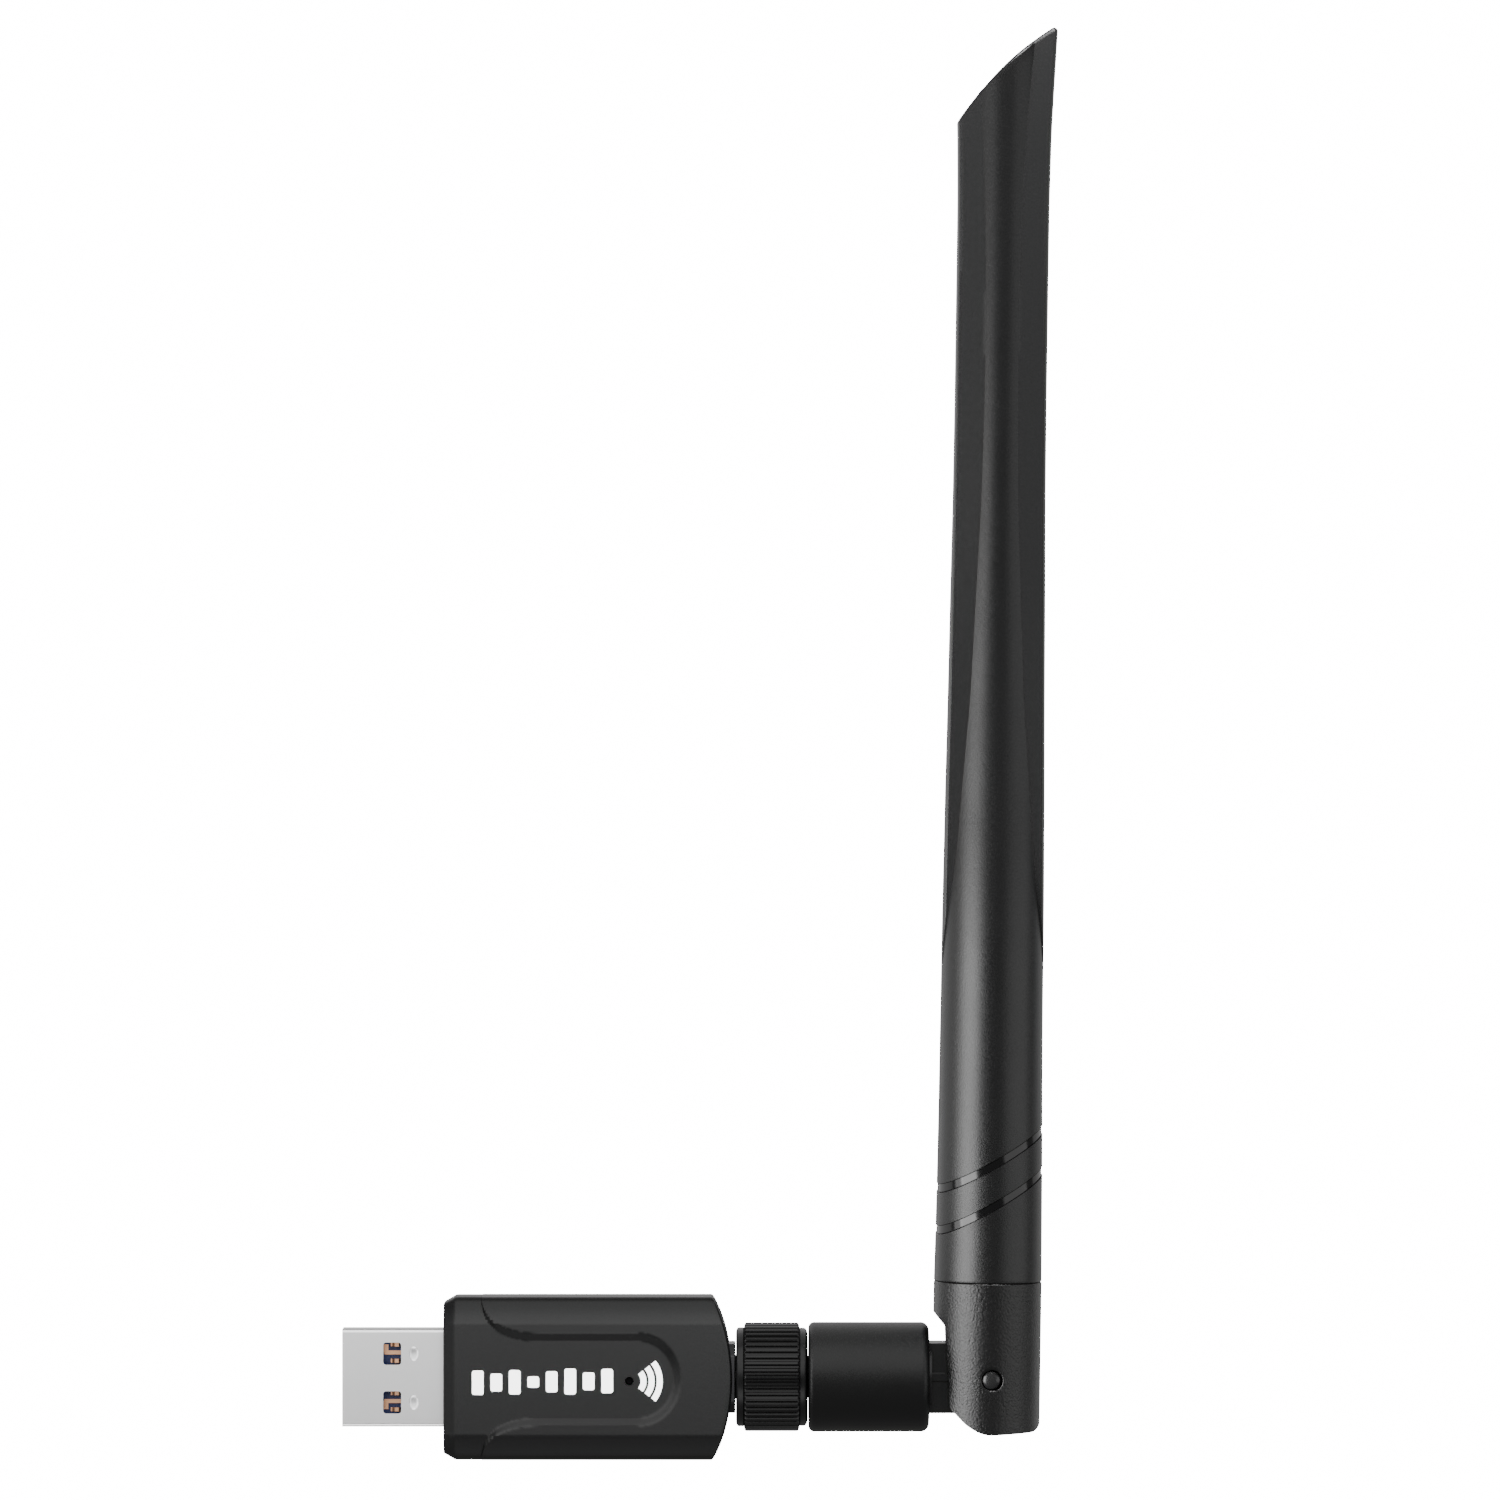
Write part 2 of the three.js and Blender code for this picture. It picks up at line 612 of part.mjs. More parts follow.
// A quarter of the cover's cross-section as [x, y]: the rib first, then the wing.
function radomeQuarter(height) {
  const { smoothstep } = THREE.MathUtils;
  const [, half, ribHalf, ribRadius, ribDepth] = between(RADOME_STATIONS, height);
  const flat = smoothstep(height, RADOME.roundTo, RADOME.flatFrom);
  const slope = WING.slope * smoothstep(height, WING.levelTo, WING.slopedFrom);
  const crease = Math.asin(ribHalf / ribRadius);
  const onRib = (angle) => [ribRadius * Math.sin(angle), ribDepth - ribRadius * (1 - Math.cos(angle))];
  const points = [0, 0.2, 0.4, 0.6, 0.8, 1].map((share) => onRib(share * crease));
  const edgeX = half - WING.edge;
  const edgeY = onRib(crease)[1] - slope * (edgeX - ribHalf);
  const wing = [
    [edgeX, edgeY],
    [half - 0.1, edgeY * 0.6],
    [half, 0],
  ];
  wing.forEach(([x, y], i) => {
    const angle = crease + ((i + 1) / wing.length) * (Math.PI / 2 - crease);
    const roundX = half * Math.sin(angle);
    const roundY = half * Math.cos(angle);
    points.push([roundX + (x - roundX) * flat, roundY + (y - roundY) * flat]);
  });
  return points;
}

function radomeRing(height) {
  const quarter = radomeQuarter(height);
  const right = [...quarter, ...quarter.slice(0, -1).map(([x, y]) => [x, -y]).reverse()];
  const left = right.slice(1, -1).map(([x, y]) => [-x, y]).reverse();
  return [...right, ...left].map(([x, y]) => [x + BASE.axis, y, height]);
}

// The slanted, slightly domed end of the cover as an outline that holds everything under it.
function tipOutline() {
  const left = new THREE.Vector2(BASE.axis - TIP.leftHalf, TIP.left);
  const right = new THREE.Vector2(BASE.axis + TIP.rightHalf, TIP.right);
  const along = right.clone().sub(left).normalize();
  const across = new THREE.Vector2(-along.y, along.x);
  const half = left.distanceTo(right) / 2;
  const middle = left.clone().add(right).multiplyScalar(0.5);
  const points = [];
  for (let i = -1; i <= 9; i++) {
    const s = half * (1 - i / 4);
    const rise = Math.sqrt(TIP.radius ** 2 - s ** 2) - Math.sqrt(TIP.radius ** 2 - half ** 2);
    const point = middle.clone().addScaledVector(along, s).addScaledVector(across, rise);
    points.push([point.x, point.y]);
  }
  return [...points, [points.at(-1)[0], 5], [points[0][0], 5]];
}

function grooveCut(height) {
  const slab = box(-12, 12, -9, 9, -GROOVE.width / 2, GROOVE.width / 2);
  const tilted = slab.rotate([GROOVE.dip, 0, 0]).rotate([0, -GROOVE.rise, 0]).translate(BASE.axis, 0, height);
  const around = between(RADOME_STATIONS, height)[1];
  const kept = rod(0, 60, around - GROOVE.depth, "z", 48).translate(BASE.axis, 0, 0);
  return tilted.subtract(kept);
}

function radome() {
  const heights = [RADOME.bottom, 34, 50, 53, 56, 60, 71, 83.5, 96, 108, 120, 132.5, 145, 154, 168];
  const outside = lofted(heights.map(radomeRing)).intersect(plate(tipOutline(), -9, 9));
  const grooved = GROOVE.heights.reduce((body, height) => body.subtract(grooveCut(height)), outside);
  const { axis } = BASE;
  const pocket = rod(5, SPIGOT.top + 0.3, SPIGOT.radius + 0.06, "z", 48).translate(axis, 0, 0);
  const boardRoom = box(axis - 3.4, axis + 3.4, -0.8, 1.55, SPIGOT.top, RADOME.boardTop);
  return grooved.subtract(pocket).subtract(boardRoom);
}

const FOIL = { front: 0.52, back: 0.62 };

function foil(halfWidth, z0, z1) {
  const { axis } = BASE;
  return box(axis - halfWidth, axis + halfWidth, FOIL.front, FOIL.back, z0, z1);
}

// A folded line of foil between the two radiators.
function phasingLine(z0, z1) {
  const { axis } = BASE;
  const folds = 4;
  const step = (z1 - z0) / (folds * 2);
  const pieces = [];
  for (let i = 0; i <= folds * 2; i++) {
    const z = z0 + i * step;
    pieces.push(box(axis - 2, axis + 2, FOIL.front, FOIL.back, z - 0.2, z + 0.2));
    if (i === folds * 2) break;
    const side = i % 2 ? -1.8 : 1.8;
    pieces.push(box(axis + side - 0.2, axis + side + 0.2, FOIL.front, FOIL.back, z, z + step));
  }
  return joined(...pieces);
}

// ---------------------------------------------------------------- assembly

const adapter = new THREE.Group();
adapter.name = "usb_wifi_adapter";

const antenna = new THREE.Group();
antenna.name = "antenna_upright";
antenna.position.x = PIVOT.x;
antenna.rotation.y = THREE.MathUtils.degToRad(PIVOT.lean);
adapter.add(antenna);

const METALS = [
  "plug_steel", "contact_gold", "tinned_metal", "jack_nickel", "brass", "spring_steel", "copper",
];

function place(group, name, shape, slot) {
  const metalness = METALS.includes(slot) ? 0.9 : 0;
  const material = new THREE.MeshStandardMaterial({ color: COLOURS[slot], roughness: 0.5, metalness });
  material.name = slot;
  const mesh = new THREE.Mesh(geometryOf(shape), material);
  mesh.name = name;
  group.add(mesh);
}

place(adapter, "housing_front_cover", frontCover(), "housing_black");
place(adapter, "housing_back_cover", cover(1), "housing_black");
place(adapter, "usb_shell", usbShell(), "plug_steel");
place(adapter, "usb_insulator", usbInsulator(), "usb_blue");
const WIDE_CONTACTS = { power: [3.5, 3], data_minus: [1, 1], data_plus: [-1, -1], ground: [-3.5, -3] };
for (const [name, [padZ, tailZ]] of Object.entries(WIDE_CONTACTS)) {
  place(adapter, "usb_contact_" + name, wideContact(padZ, tailZ), "contact_gold");
}
[4, 2, 0, -2, -4].forEach((z, i) => {
  place(adapter, "usb_spring_contact_" + (i + 1), springContact(z), "contact_gold");
});

const boardPlate = box(BOARD.start, BOARD.end, BOARD.front, BOARD.back, -BOARD.halfHeight, BOARD.halfHeight);
place(adapter, "main_board", boardPlate, "board_green");
place(adapter, "shield_can", shieldCan(), "tinned_metal");
place(adapter, "radio_chip", onBoard(13.6, -0.2, 6, 6, 0.9), "chip_black");
place(adapter, "power_regulator", onBoard(22.9, 5.4, 2.9, 1.6, 1), "chip_black");
place(adapter, "power_inductor", onBoard(22.9, -5.2, 3, 3, 1.5), "chip_black");
place(adapter, "crystal", onBoard(26.4, -3.4, 2.5, 2, 0.7), "tinned_metal");
[-4.4, 3, 4.6].forEach((z, i) => {
  place(adapter, "capacitor_" + (i + 1), onBoard([29.8, 26.6, 29.8][i], z, 1.6, 0.8, 0.8), "insulator_white");
});
place(adapter, "status_led", onBoard(LED.x, LED.z, 1.6, 0.9, 0.7), "led_clear");
place(adapter, "light_pipe", lightPipe(), "led_clear");

place(adapter, "jack_body", jackBody(), "jack_nickel");
place(adapter, "jack_insulator", jackInsulator(), "insulator_white");
place(adapter, "jack_pin", jackPin(), "contact_gold");

place(adapter, "nut_grip", nutGrip(), "nut_black");
place(adapter, "nut_thread_insert", nutThreadInsert(), "brass");
place(adapter, "snap_ring", snapRing(), "spring_steel");

place(adapter, "plug_shell", plugShell(), "jack_nickel");
place(adapter, "plug_dielectric", plugDielectric(), "insulator_white");
place(adapter, "plug_contact", plugContact(), "contact_gold");
place(adapter, "crimp_ferrule", crimpFerrule(), "brass");

place(adapter, "swivel_barrel", swivelBarrel(), "sleeve_black");
place(adapter, "knuckle", knuckle(), "knuckle_black");
place(adapter, "pivot_pin_front", pivotPin(-1), "knuckle_black");
place(adapter, "pivot_pin_back", pivotPin(1), "knuckle_black");
place(adapter, "coax_lower", rod(51.6, 63.4, COAX_RADIUS, "x", 12), "coax_grey");
place(adapter, "coax_bend", coaxBend(), "coax_grey");

place(antenna, "antenna_base", antennaBase(), "antenna_black");
place(antenna, "antenna_cover", radome(), "antenna_black");
const coaxUpper = rod(4.9, 32, COAX_RADIUS, "z", 12).translate(BASE.axis, 0, 0);
place(antenna, "coax_upper", coaxUpper, "coax_grey");
const { axis } = BASE;
place(antenna, "antenna_board", box(axis - 3.3, axis + 3.3, 0.62, 1.42, 24, 148), "board_green");
place(antenna, "feed_solder", box(axis - 0.5, axis + 0.5, -0.3, 0.62, 32.02, 34), "tinned_metal");
place(antenna, "radiator_lower", foil(2.6, 34.1, 84.7), "copper");
place(antenna, "phasing_line", phasingLine(85.1, 94.7), "copper");
place(antenna, "radiator_upper", foil(2.6, 95.1, 144), "copper");

export default adapter;
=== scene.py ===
"""The looks of a USB wireless adapter with a screw-on antenna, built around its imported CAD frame.

Shapes are worked out in millimetres in the CAD's own frame: the USB plug points along -X, the
antenna stands along +Z, and the printed face looks along -Y. The origin is the middle of the plug
where it leaves the housing. Everything is turned to metres when a mesh is made.
"""

import json
import math
from functools import cache

import bmesh
import bpy
from mathutils import Matrix, Vector


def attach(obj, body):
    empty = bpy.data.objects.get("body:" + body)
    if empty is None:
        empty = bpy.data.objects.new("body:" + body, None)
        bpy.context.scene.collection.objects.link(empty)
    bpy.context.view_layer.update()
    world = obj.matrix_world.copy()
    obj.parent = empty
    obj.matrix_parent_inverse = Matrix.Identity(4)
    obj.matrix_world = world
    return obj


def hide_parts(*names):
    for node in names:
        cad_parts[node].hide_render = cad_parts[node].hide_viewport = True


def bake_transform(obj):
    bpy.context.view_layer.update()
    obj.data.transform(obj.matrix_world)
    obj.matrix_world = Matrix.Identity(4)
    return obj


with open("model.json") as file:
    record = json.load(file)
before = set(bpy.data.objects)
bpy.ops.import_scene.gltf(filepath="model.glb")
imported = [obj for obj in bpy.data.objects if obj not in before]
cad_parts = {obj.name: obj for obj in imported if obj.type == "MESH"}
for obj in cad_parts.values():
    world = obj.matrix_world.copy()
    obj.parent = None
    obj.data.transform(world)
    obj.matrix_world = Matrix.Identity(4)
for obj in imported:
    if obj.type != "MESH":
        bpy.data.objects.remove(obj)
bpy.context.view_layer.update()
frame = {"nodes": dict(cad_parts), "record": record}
MM = 0.001

# ------------------------------------------------------------------ dimensions, in millimetres

HOUSING_LENGTH = 35.5
HALF_HEIGHT = 10.06
HALF_THICK = 5.0
FLAT_HALF = 6.9
SIDE_TOP = 2.6
END_RADIUS = 23.5
BEVEL_LENGTH = 1.55
BEVEL_DEPTH = 0.85
END_FILLET = 0.4
RECESS_DEPTH = 0.45
BAND_INNER = 4.76
BAND_OUTER = 5.61
BAND_END = 24.0
BAND_INNER_REACH = 4.35
FLARE_START = 4.7
# x, z, radius
LED = (22.87, -0.2, 0.54)
PLUG_OPENING_DEPTH = 1.2
POCKET_END = 33.5
WALL = 0.6

NUT_RIBS = 48
# start, end, radius
BARREL = (44.9, 59.75, 6.75)
PIVOT_X = 67.28
LEAN = math.radians(0.84)
AXIS_X = -0.44
BASE_RADIUS = 6.66
BASE_TOP = 11.8
GROOVES = (21.89, 26.99)
GROOVE_SLOPE = 0.568
GROOVE_DIP = 0.13
# height from the middle of the groove, and depth: a shallow band between two fine lines
GROOVE_PROFILE = (
    (-0.59, 0.0), (-0.57, 0.26), (-0.49, 0.26), (-0.47, 0.12),
    (0.47, 0.12), (0.49, 0.26), (0.57, 0.26), (0.59, 0.0),
)
TIP_LEFT = (-5.8, 155.0)
TIP_RIGHT = (6.4, 166.5)
TIP_RADIUS = 38.0
TIP_START = 140
TIP_ROWS = 30
TIP_FILLET = 0.45
# height, half width, rib half width, rib radius, rib half depth
STATIONS = (
    (11.82, 6.66, 5.77, 6.66, 6.66),
    (34, 6.4, 5.54, 6.4, 6.4),
    (47, 6.32, 6.0, 6.32, 6.32),
    (52, 6.3, 6.2, 6.3, 6.3),
    (59, 6.27, 5.38, 6.3, 5.9),
    (65, 6.2, 4.65, 6.25, 5.35),
    (71, 6.16, 4.25, 6.2, 4.75),
    (83.5, 6.0, 3.28, 5.8, 3.95),
    (96, 5.88, 2.76, 5.0, 3.5),
    (108, 5.74, 2.25, 4.3, 3.2),
    (120, 5.69, 2.04, 4.2, 3.05),
    (132.5, 5.69, 2.0, 4.2, 3.0),
    (145, 5.7, 2.3, 4.4, 3.0),
    (154, 5.85, 2.7, 4.6, 3.05),
    (168, 6.5, 3.8, 4.8, 3.3),
)
WING_SLOPE = 0.1
WING_EDGE = 0.4
WING_START = 52.0
RIB_COLUMNS = 14
WING_COLUMNS = 6
EDGE_COLUMNS = 8


# ------------------------------------------------------------------ materials


def material(name, colour, roughness, metallic=0.0, specular=0.5):
    made = bpy.data.materials.new(name)
    made.use_nodes = True
    shader = made.node_tree.nodes["Principled BSDF"]
    shader.inputs["Base Color"].default_value = (*colour, 1)
    shader.inputs["Roughness"].default_value = roughness
    shader.inputs["Metallic"].default_value = metallic
    shader.inputs["Specular IOR Level"].default_value = specular
    made.diffuse_color = (*colour, 1)
    return made


def add_grain(made, size, strength, spread=0.0):
    """A fine bump of that size in millimetres, and a slow change of roughness by spread."""
    tree = made.node_tree
    shader = tree.nodes["Principled BSDF"]
    place = tree.nodes.new("ShaderNodeTexCoord")
    noise = tree.nodes.new("ShaderNodeTexNoise")
    noise.inputs["Scale"].default_value = 1 / (size * MM)
    noise.inputs["Detail"].default_value = 2
    tree.links.new(place.outputs["Object"], noise.inputs["Vector"])
    bump = tree.nodes.new("ShaderNodeBump")
    bump.inputs["Strength"].default_value = strength
    bump.inputs["Distance"].default_value = size * MM * 0.5
    tree.links.new(noise.outputs["Fac"], bump.inputs["Height"])
    tree.links.new(bump.outputs["Normal"], shader.inputs["Normal"])
    if spread:
        broad = tree.nodes.new("ShaderNodeTexNoise")
        broad.inputs["Scale"].default_value = 1 / (6 * MM)
        broad.inputs["Detail"].default_value = 3
        tree.links.new(place.outputs["Object"], broad.inputs["Vector"])
        spreader = tree.nodes.new("ShaderNodeMapRange")
        middle = shader.inputs["Roughness"].default_value
        spreader.inputs["To Min"].default_value = middle - spread
        spreader.inputs["To Max"].default_value = middle + spread
        tree.links.new(broad.outputs["Fac"], spreader.inputs["Value"])
        tree.links.new(spreader.outputs["Result"], shader.inputs["Roughness"])
    return made


HOUSING_BLACK = add_grain(material("housing_satin", (0.007, 0.007, 0.0072), 0.36), 0.12, 0.05, 0.03)
PLUG_STEEL = add_grain(material("plug_satin", (0.8, 0.8, 0.805), 0.36, 1.0), 0.1, 0.02, 0.04)
USB_BLUE = material("usb_insulator_blue", (0.008, 0.02, 0.13), 0.4)
CONTACT_GOLD = material("contact_copper_gold", (0.72, 0.40, 0.24), 0.3, 1.0)
JACK_NICKEL = material("jack_dark_nickel", (0.05, 0.05, 0.052), 0.28, 1.0)
NUT_BLACK = add_grain(material("nut_sheen", (0.005, 0.005, 0.0052), 0.3), 0.15, 0.04, 0.03)
SLEEVE_BLACK = add_grain(material("sleeve_grain", (0.006, 0.006, 0.0063), 0.42), 0.13, 0.3, 0.03)
# The knuckle's black is lighter than the other black plastic: painted light that brightens its flat faces
# against the base's shadow.
KNUCKLE_PAINTED_LIGHT = material("knuckle_smooth_painted_light", (0.026, 0.026, 0.0265), 0.3)
# The pin domes' black is lighter than the other black plastic: painted light on the domes.
PIN_PAINTED_LIGHT = material("pin_gloss_painted_light", (0.018, 0.018, 0.0185), 0.24)
ANTENNA_BLACK = add_grain(material("antenna_grain", (0.004, 0.004, 0.0042), 0.36), 0.16, 0.3, 0.03)
FOOT_BLACK = add_grain(material("foot_grain", (0.004, 0.004, 0.0042), 0.34), 0.24, 0.55, 0.03)
# The wings take a lighter copy of the antenna's black with a finer grain: the finer grain is the finish,
# the lighter colour is painted light on the wings.
WING_PAINTED_LIGHT = add_grain(material("antenna_wing_painted_light", (0.0115, 0.0115, 0.0118), 0.4), 0.16, 0.1)
GROOVE_GLOSS = material("groove_gloss", (0.002, 0.002, 0.0022), 0.15)
INK_WHITE = material("print_white", (0.95, 0.95, 0.95), 0.5)
LIGHT_PIPE = material("light_pipe_smoke", (0.002, 0.002, 0.0025), 0.6, specular=0.1)
COAX_JACKET = material("coax_jacket", (0.02, 0.02, 0.021), 0.5)


# ------------------------------------------------------------------ mesh making


def finished(name, mesh, surface, sharp=35.0, weighted=False):
    """An object of that mesh, smooth up to the sharp angle; weighted keeps large flats flat."""
    mesh.materials.append(surface)
    mesh.shade_smooth()
    mesh.set_sharp_from_angle(angle=math.radians(sharp))
    piece = bpy.data.objects.new(name, mesh)
    bpy.context.scene.collection.objects.link(piece)
    if weighted:
        even = piece.modifiers.new("even", "WEIGHTED_NORMAL")
        even.keep_sharp = True
        even.weight = 80
        piece.data = evaluated(piece)
        piece.modifiers.clear()
    return piece


def outward(work):
    """Turns every face of a bmesh outward; on an open grid, away from its middle."""
    bmesh.ops.recalc_face_normals(work, faces=work.faces)
    middle = sum((v.co for v in work.verts), Vector()) / len(work.verts)
    lean = sum(f.normal.dot(f.calc_center_median() - middle) * f.calc_area() for f in work.faces)
    if lean < 0:
        bmesh.ops.reverse_faces(work, faces=work.faces)


def raw_mesh(name, points, faces):
    """A mesh in metres of those points in millimetres."""
    mesh = bpy.data.meshes.new(name)
    mesh.from_pydata([(x * MM, y * MM, z * MM) for x, y, z in points], [], faces)
    return mesh


def faced_out(mesh):
    """Turns the faces of a closed mesh outward."""
    work = bmesh.new()
    work.from_mesh(mesh)
    bmesh.ops.recalc_face_normals(work, faces=work.faces)
    work.to_mesh(mesh)
    work.free()
    return mesh


def mesh_from(name, points, faces):
    mesh = raw_mesh(name, points, faces)
    work = bmesh.new()
    work.from_mesh(mesh)
    bmesh.ops.remove_doubles(work, verts=work.verts, dist=1e-7)
    outward(work)
    work.to_mesh(mesh)
    work.free()
    return mesh


def grid_faces(rows, columns, wrap):
    """Quads between rows of points; wrap joins each row's last column to its first."""
    faces = []
    for r in range(rows - 1):
        for c in range(columns if wrap else columns - 1):
            a = r * columns + c
            b = r * columns + (c + 1) % columns
            faces.append((a, b, b + columns, a + columns))
    return faces


def lofted(name, rings, caps=True):
    count = len(rings[0])
    faces = grid_faces(len(rings), count, True)
    if caps:
        faces.append(tuple(range(count)))
        first = (len(rings) - 1) * count
        faces.append(tuple(range(first, first + count)))
    return mesh_from(name, [p for ring in rings for p in ring], faces)


def turned(name, profile, segments, axis="x", centre=(0, 0, 0)):
    """A profile of (along, radius) turned about an axis; it closes on itself or ends on the axis."""
    rings = []
    for along, radius in profile:
        ring = []
        for i in range(segments):
            angle = 2 * math.pi * i / segments
            u, v = radius * math.cos(angle), radius * math.sin(angle)
            point = {"x": (along, u, v), "y": (v, along, u), "z": (u, v, along)}[axis]
            ring.append(tuple(p + c for p, c in zip(point, centre)))
        rings.append(ring)
    return lofted(name, rings, caps=False)


def rod(name, start, end, radius, segments, axis="x", centre=(0, 0, 0)):
    profile = [(start, 0), (start, radius), (end, radius), (end, 0)]
    return turned(name, profile, segments, axis, centre)


def prism(name, outline, y0, y1):
    """An outline of (x, z) run along Y."""
    rings = [[(x, y, z) for x, z in outline] for y in (y0, y1)]
    return lofted(name, rings)


def bar(name, outline, x0, x1):
    """An outline of (y, z) run along X."""
    rings = [[(x, y, z) for y, z in outline] for x in (x0, x1)]
    return lofted(name, rings)


def cuboid(name, x0, x1, y0, y1, z0, z1):
    return bar(name, [(y0, z0), (y1, z0), (y1, z1), (y0, z1)], x0, x1)


def arc(cx, cz, radius, start, end, steps):
    """Points on a circle from start to end degrees."""
    points = []
    for i in range(steps + 1):
        angle = math.radians(start + (end - start) * i / steps)
        points.append((cx + radius * math.cos(angle), cz + radius * math.sin(angle)))
    return points


def rounded(half_u, half_v, radius, steps=5, centre=(0, 0)):
    """The outline of a rectangle with round corners."""
    points = []
    for quarter in range(4):
        u = (half_u - radius) * (1 if quarter in (0, 3) else -1)
        v = (half_v - radius) * (1 if quarter < 2 else -1)
        points += arc(u + centre[0], v + centre[1], radius, quarter * 90, quarter * 90 + 90, steps)
    return points


def merged(name, meshes):
    """The meshes as one, without joining where they cross."""
    work = bmesh.new()
    for mesh in meshes:
        work.from_mesh(mesh)
    mesh = bpy.data.meshes.new(name)
    work.to_mesh(mesh)
    work.free()
    return mesh


def combined(mesh, *steps):
    """Joins or cuts a mesh with others, each step being ("UNION" | "DIFFERENCE" | "INTERSECT", mesh)."""
    host = bpy.data.objects.new("host", mesh)
    bpy.context.scene.collection.objects.link(host)
    helpers = []
    for operation, other in steps:
        helper = bpy.data.objects.new("helper", other)
        bpy.context.scene.collection.objects.link(helper)
        helpers.append(helper)
        step = host.modifiers.new("step", "BOOLEAN")
        step.operation = operation
        step.object = helper
        step.solver = "EXACT"
    result = evaluated(host)
    for helper in helpers + [host]:
        bpy.data.objects.remove(helper)
    return result


def evaluated(piece):
    bpy.context.view_layer.update()
    graph = bpy.context.evaluated_depsgraph_get()
    return bpy.data.meshes.new_from_object(piece.evaluated_get(graph))


def softened(mesh, width, angle=32.0, segments=3):
    """Rounds every edge sharper than angle by width, in millimetres."""
    work = bmesh.new()
    work.from_mesh(mesh)
    bmesh.ops.remove_doubles(work, verts=work.verts, dist=2e-6)
    flat = [e for e in work.edges if len(e.link_faces) == 2 and e.calc_face_angle(0) < math.radians(0.5)]
    bmesh.ops.dissolve_edges(work, edges=flat, use_verts=True)
    work.to_mesh(mesh)
    work.free()
    holder = bpy.data.objects.new("soft", mesh)
    bpy.context.scene.collection.objects.link(holder)
    bevel = holder.modifiers.new("soft", "BEVEL")
    bevel.width = width * MM
    bevel.segments = segments
    bevel.limit_method = "ANGLE"
    bevel.angle_limit = math.radians(angle)
    bevel.miter_outer = "MITER_ARC"
    bevel.harden_normals = False
    result = evaluated(holder)
    bpy.data.objects.remove(holder)
    return result


def leaned(mesh):
    """Takes a mesh from the antenna's upright frame about the pivot to its place."""
    turn = Matrix.Rotation(LEAN, 4, "Y")
    mesh.transform(Matrix.Translation((PIVOT_X * MM, 0, 0)) @ turn)
    return mesh


BODIES = frame["record"]["behaviour"]["bodies"]
# every object that rides on each body, for the lamps that light one body
RIDERS = {body: [frame["nodes"][node] for node in nodes] for body, nodes in BODIES.items()}


def place(piece, body, slot, *replaced):
    RIDERS[body].append(piece)
    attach(piece, body)
    if replaced:
        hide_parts(*replaced)
    return piece


# ------------------------------------------------------------------ housing


def edge_curve(t):
    """The rounded shoulder of the housing's section, as (z, y), from the flat to the side."""
    points = ((FLAT_HALF, HALF_THICK), (8.6, 4.5), (HALF_HEIGHT, 3.95), (HALF_HEIGHT, SIDE_TOP))
    weights = ((1 - t) ** 3, 3 * t * (1 - t) ** 2, 3 * t * t * (1 - t), t**3)
    return tuple(sum(w * p[axis] for w, p in zip(weights, points)) for axis in (0, 1))


def half_section():
    """(z, y) from the parting line at +z over the broad face to the parting line at -z."""
    side = [(HALF_HEIGHT, SIDE_TOP * i / 5) for i in range(5)]
    shoulder = [edge_curve(1 - i / 12) for i in range(12)]
    levels = [FLAT_HALF - (FLAT_HALF - BAND_OUTER) * i / 6 for i in range(6)]
    levels += [BAND_OUTER - (BAND_OUTER - BAND_INNER) * i / 5 for i in range(5)]
    levels += [BAND_INNER * (1 - i / 24) for i in range(24)]
    upper = side + shoulder + [(z, HALF_THICK) for z in levels]
    return upper + [(0.0, HALF_THICK)] + [(-z, y) for z, y in reversed(upper)]


def section_normals(section):
    normals = []
    for i in range(len(section)):
        before = section[max(i - 1, 0)]
        after = section[min(i + 1, len(section) - 1)]
        dz, dy = after[0] - before[0], after[1] - before[1]
        size = math.hypot(dz, dy)
        normals.append((dy / size, -dz / size))
    return normals


def flare(x, half, span):
    """Half the width inside the band at x: the housing's own where the flare starts, then down to half."""
    u = min(max((x - FLARE_START) / span, 0.0), 1.0)
    return half + (HALF_HEIGHT - half) * (1 - math.sqrt(u)) ** 1.85


def band_share(x, z):
    """0 on the sunken side of the band, 1 on the raised side, and the slope between them."""
    z = abs(z)
    if x <= FLARE_START:
        return 0.0
    if x > BAND_END:
        squeeze = BAND_INNER_REACH / BAND_INNER
        reach = math.hypot(x - BAND_END, z * squeeze) - BAND_INNER_REACH
        return min(max(reach / (BAND_OUTER - BAND_INNER), 0.0), 1.0)
    low = flare(x, BAND_INNER, 6.8)
    high = flare(x, BAND_OUTER, 7.4)
    return min(max((z - low) / max(high - low, 0.08), 0.0), 1.0)


def end_x(z):
    return HOUSING_LENGTH - END_RADIUS + math.sqrt(END_RADIUS**2 - z * z)


def onto(z, y, limits):
    """The point in the direction of (z, y) on the edge of a shape given as (a, b, reach) lines."""
    share = min(reach / max(a * abs(z) + b * abs(y), 1e-6) for a, b, reach in limits)
    return z * share, y * share


PLUG_HOLE = ((1, 0, 6.07), (0, 1, 2.32))
JACK_POCKET = ((1, 0, 4.3), (0, 1, 4.3), (1, 1, 7.25))


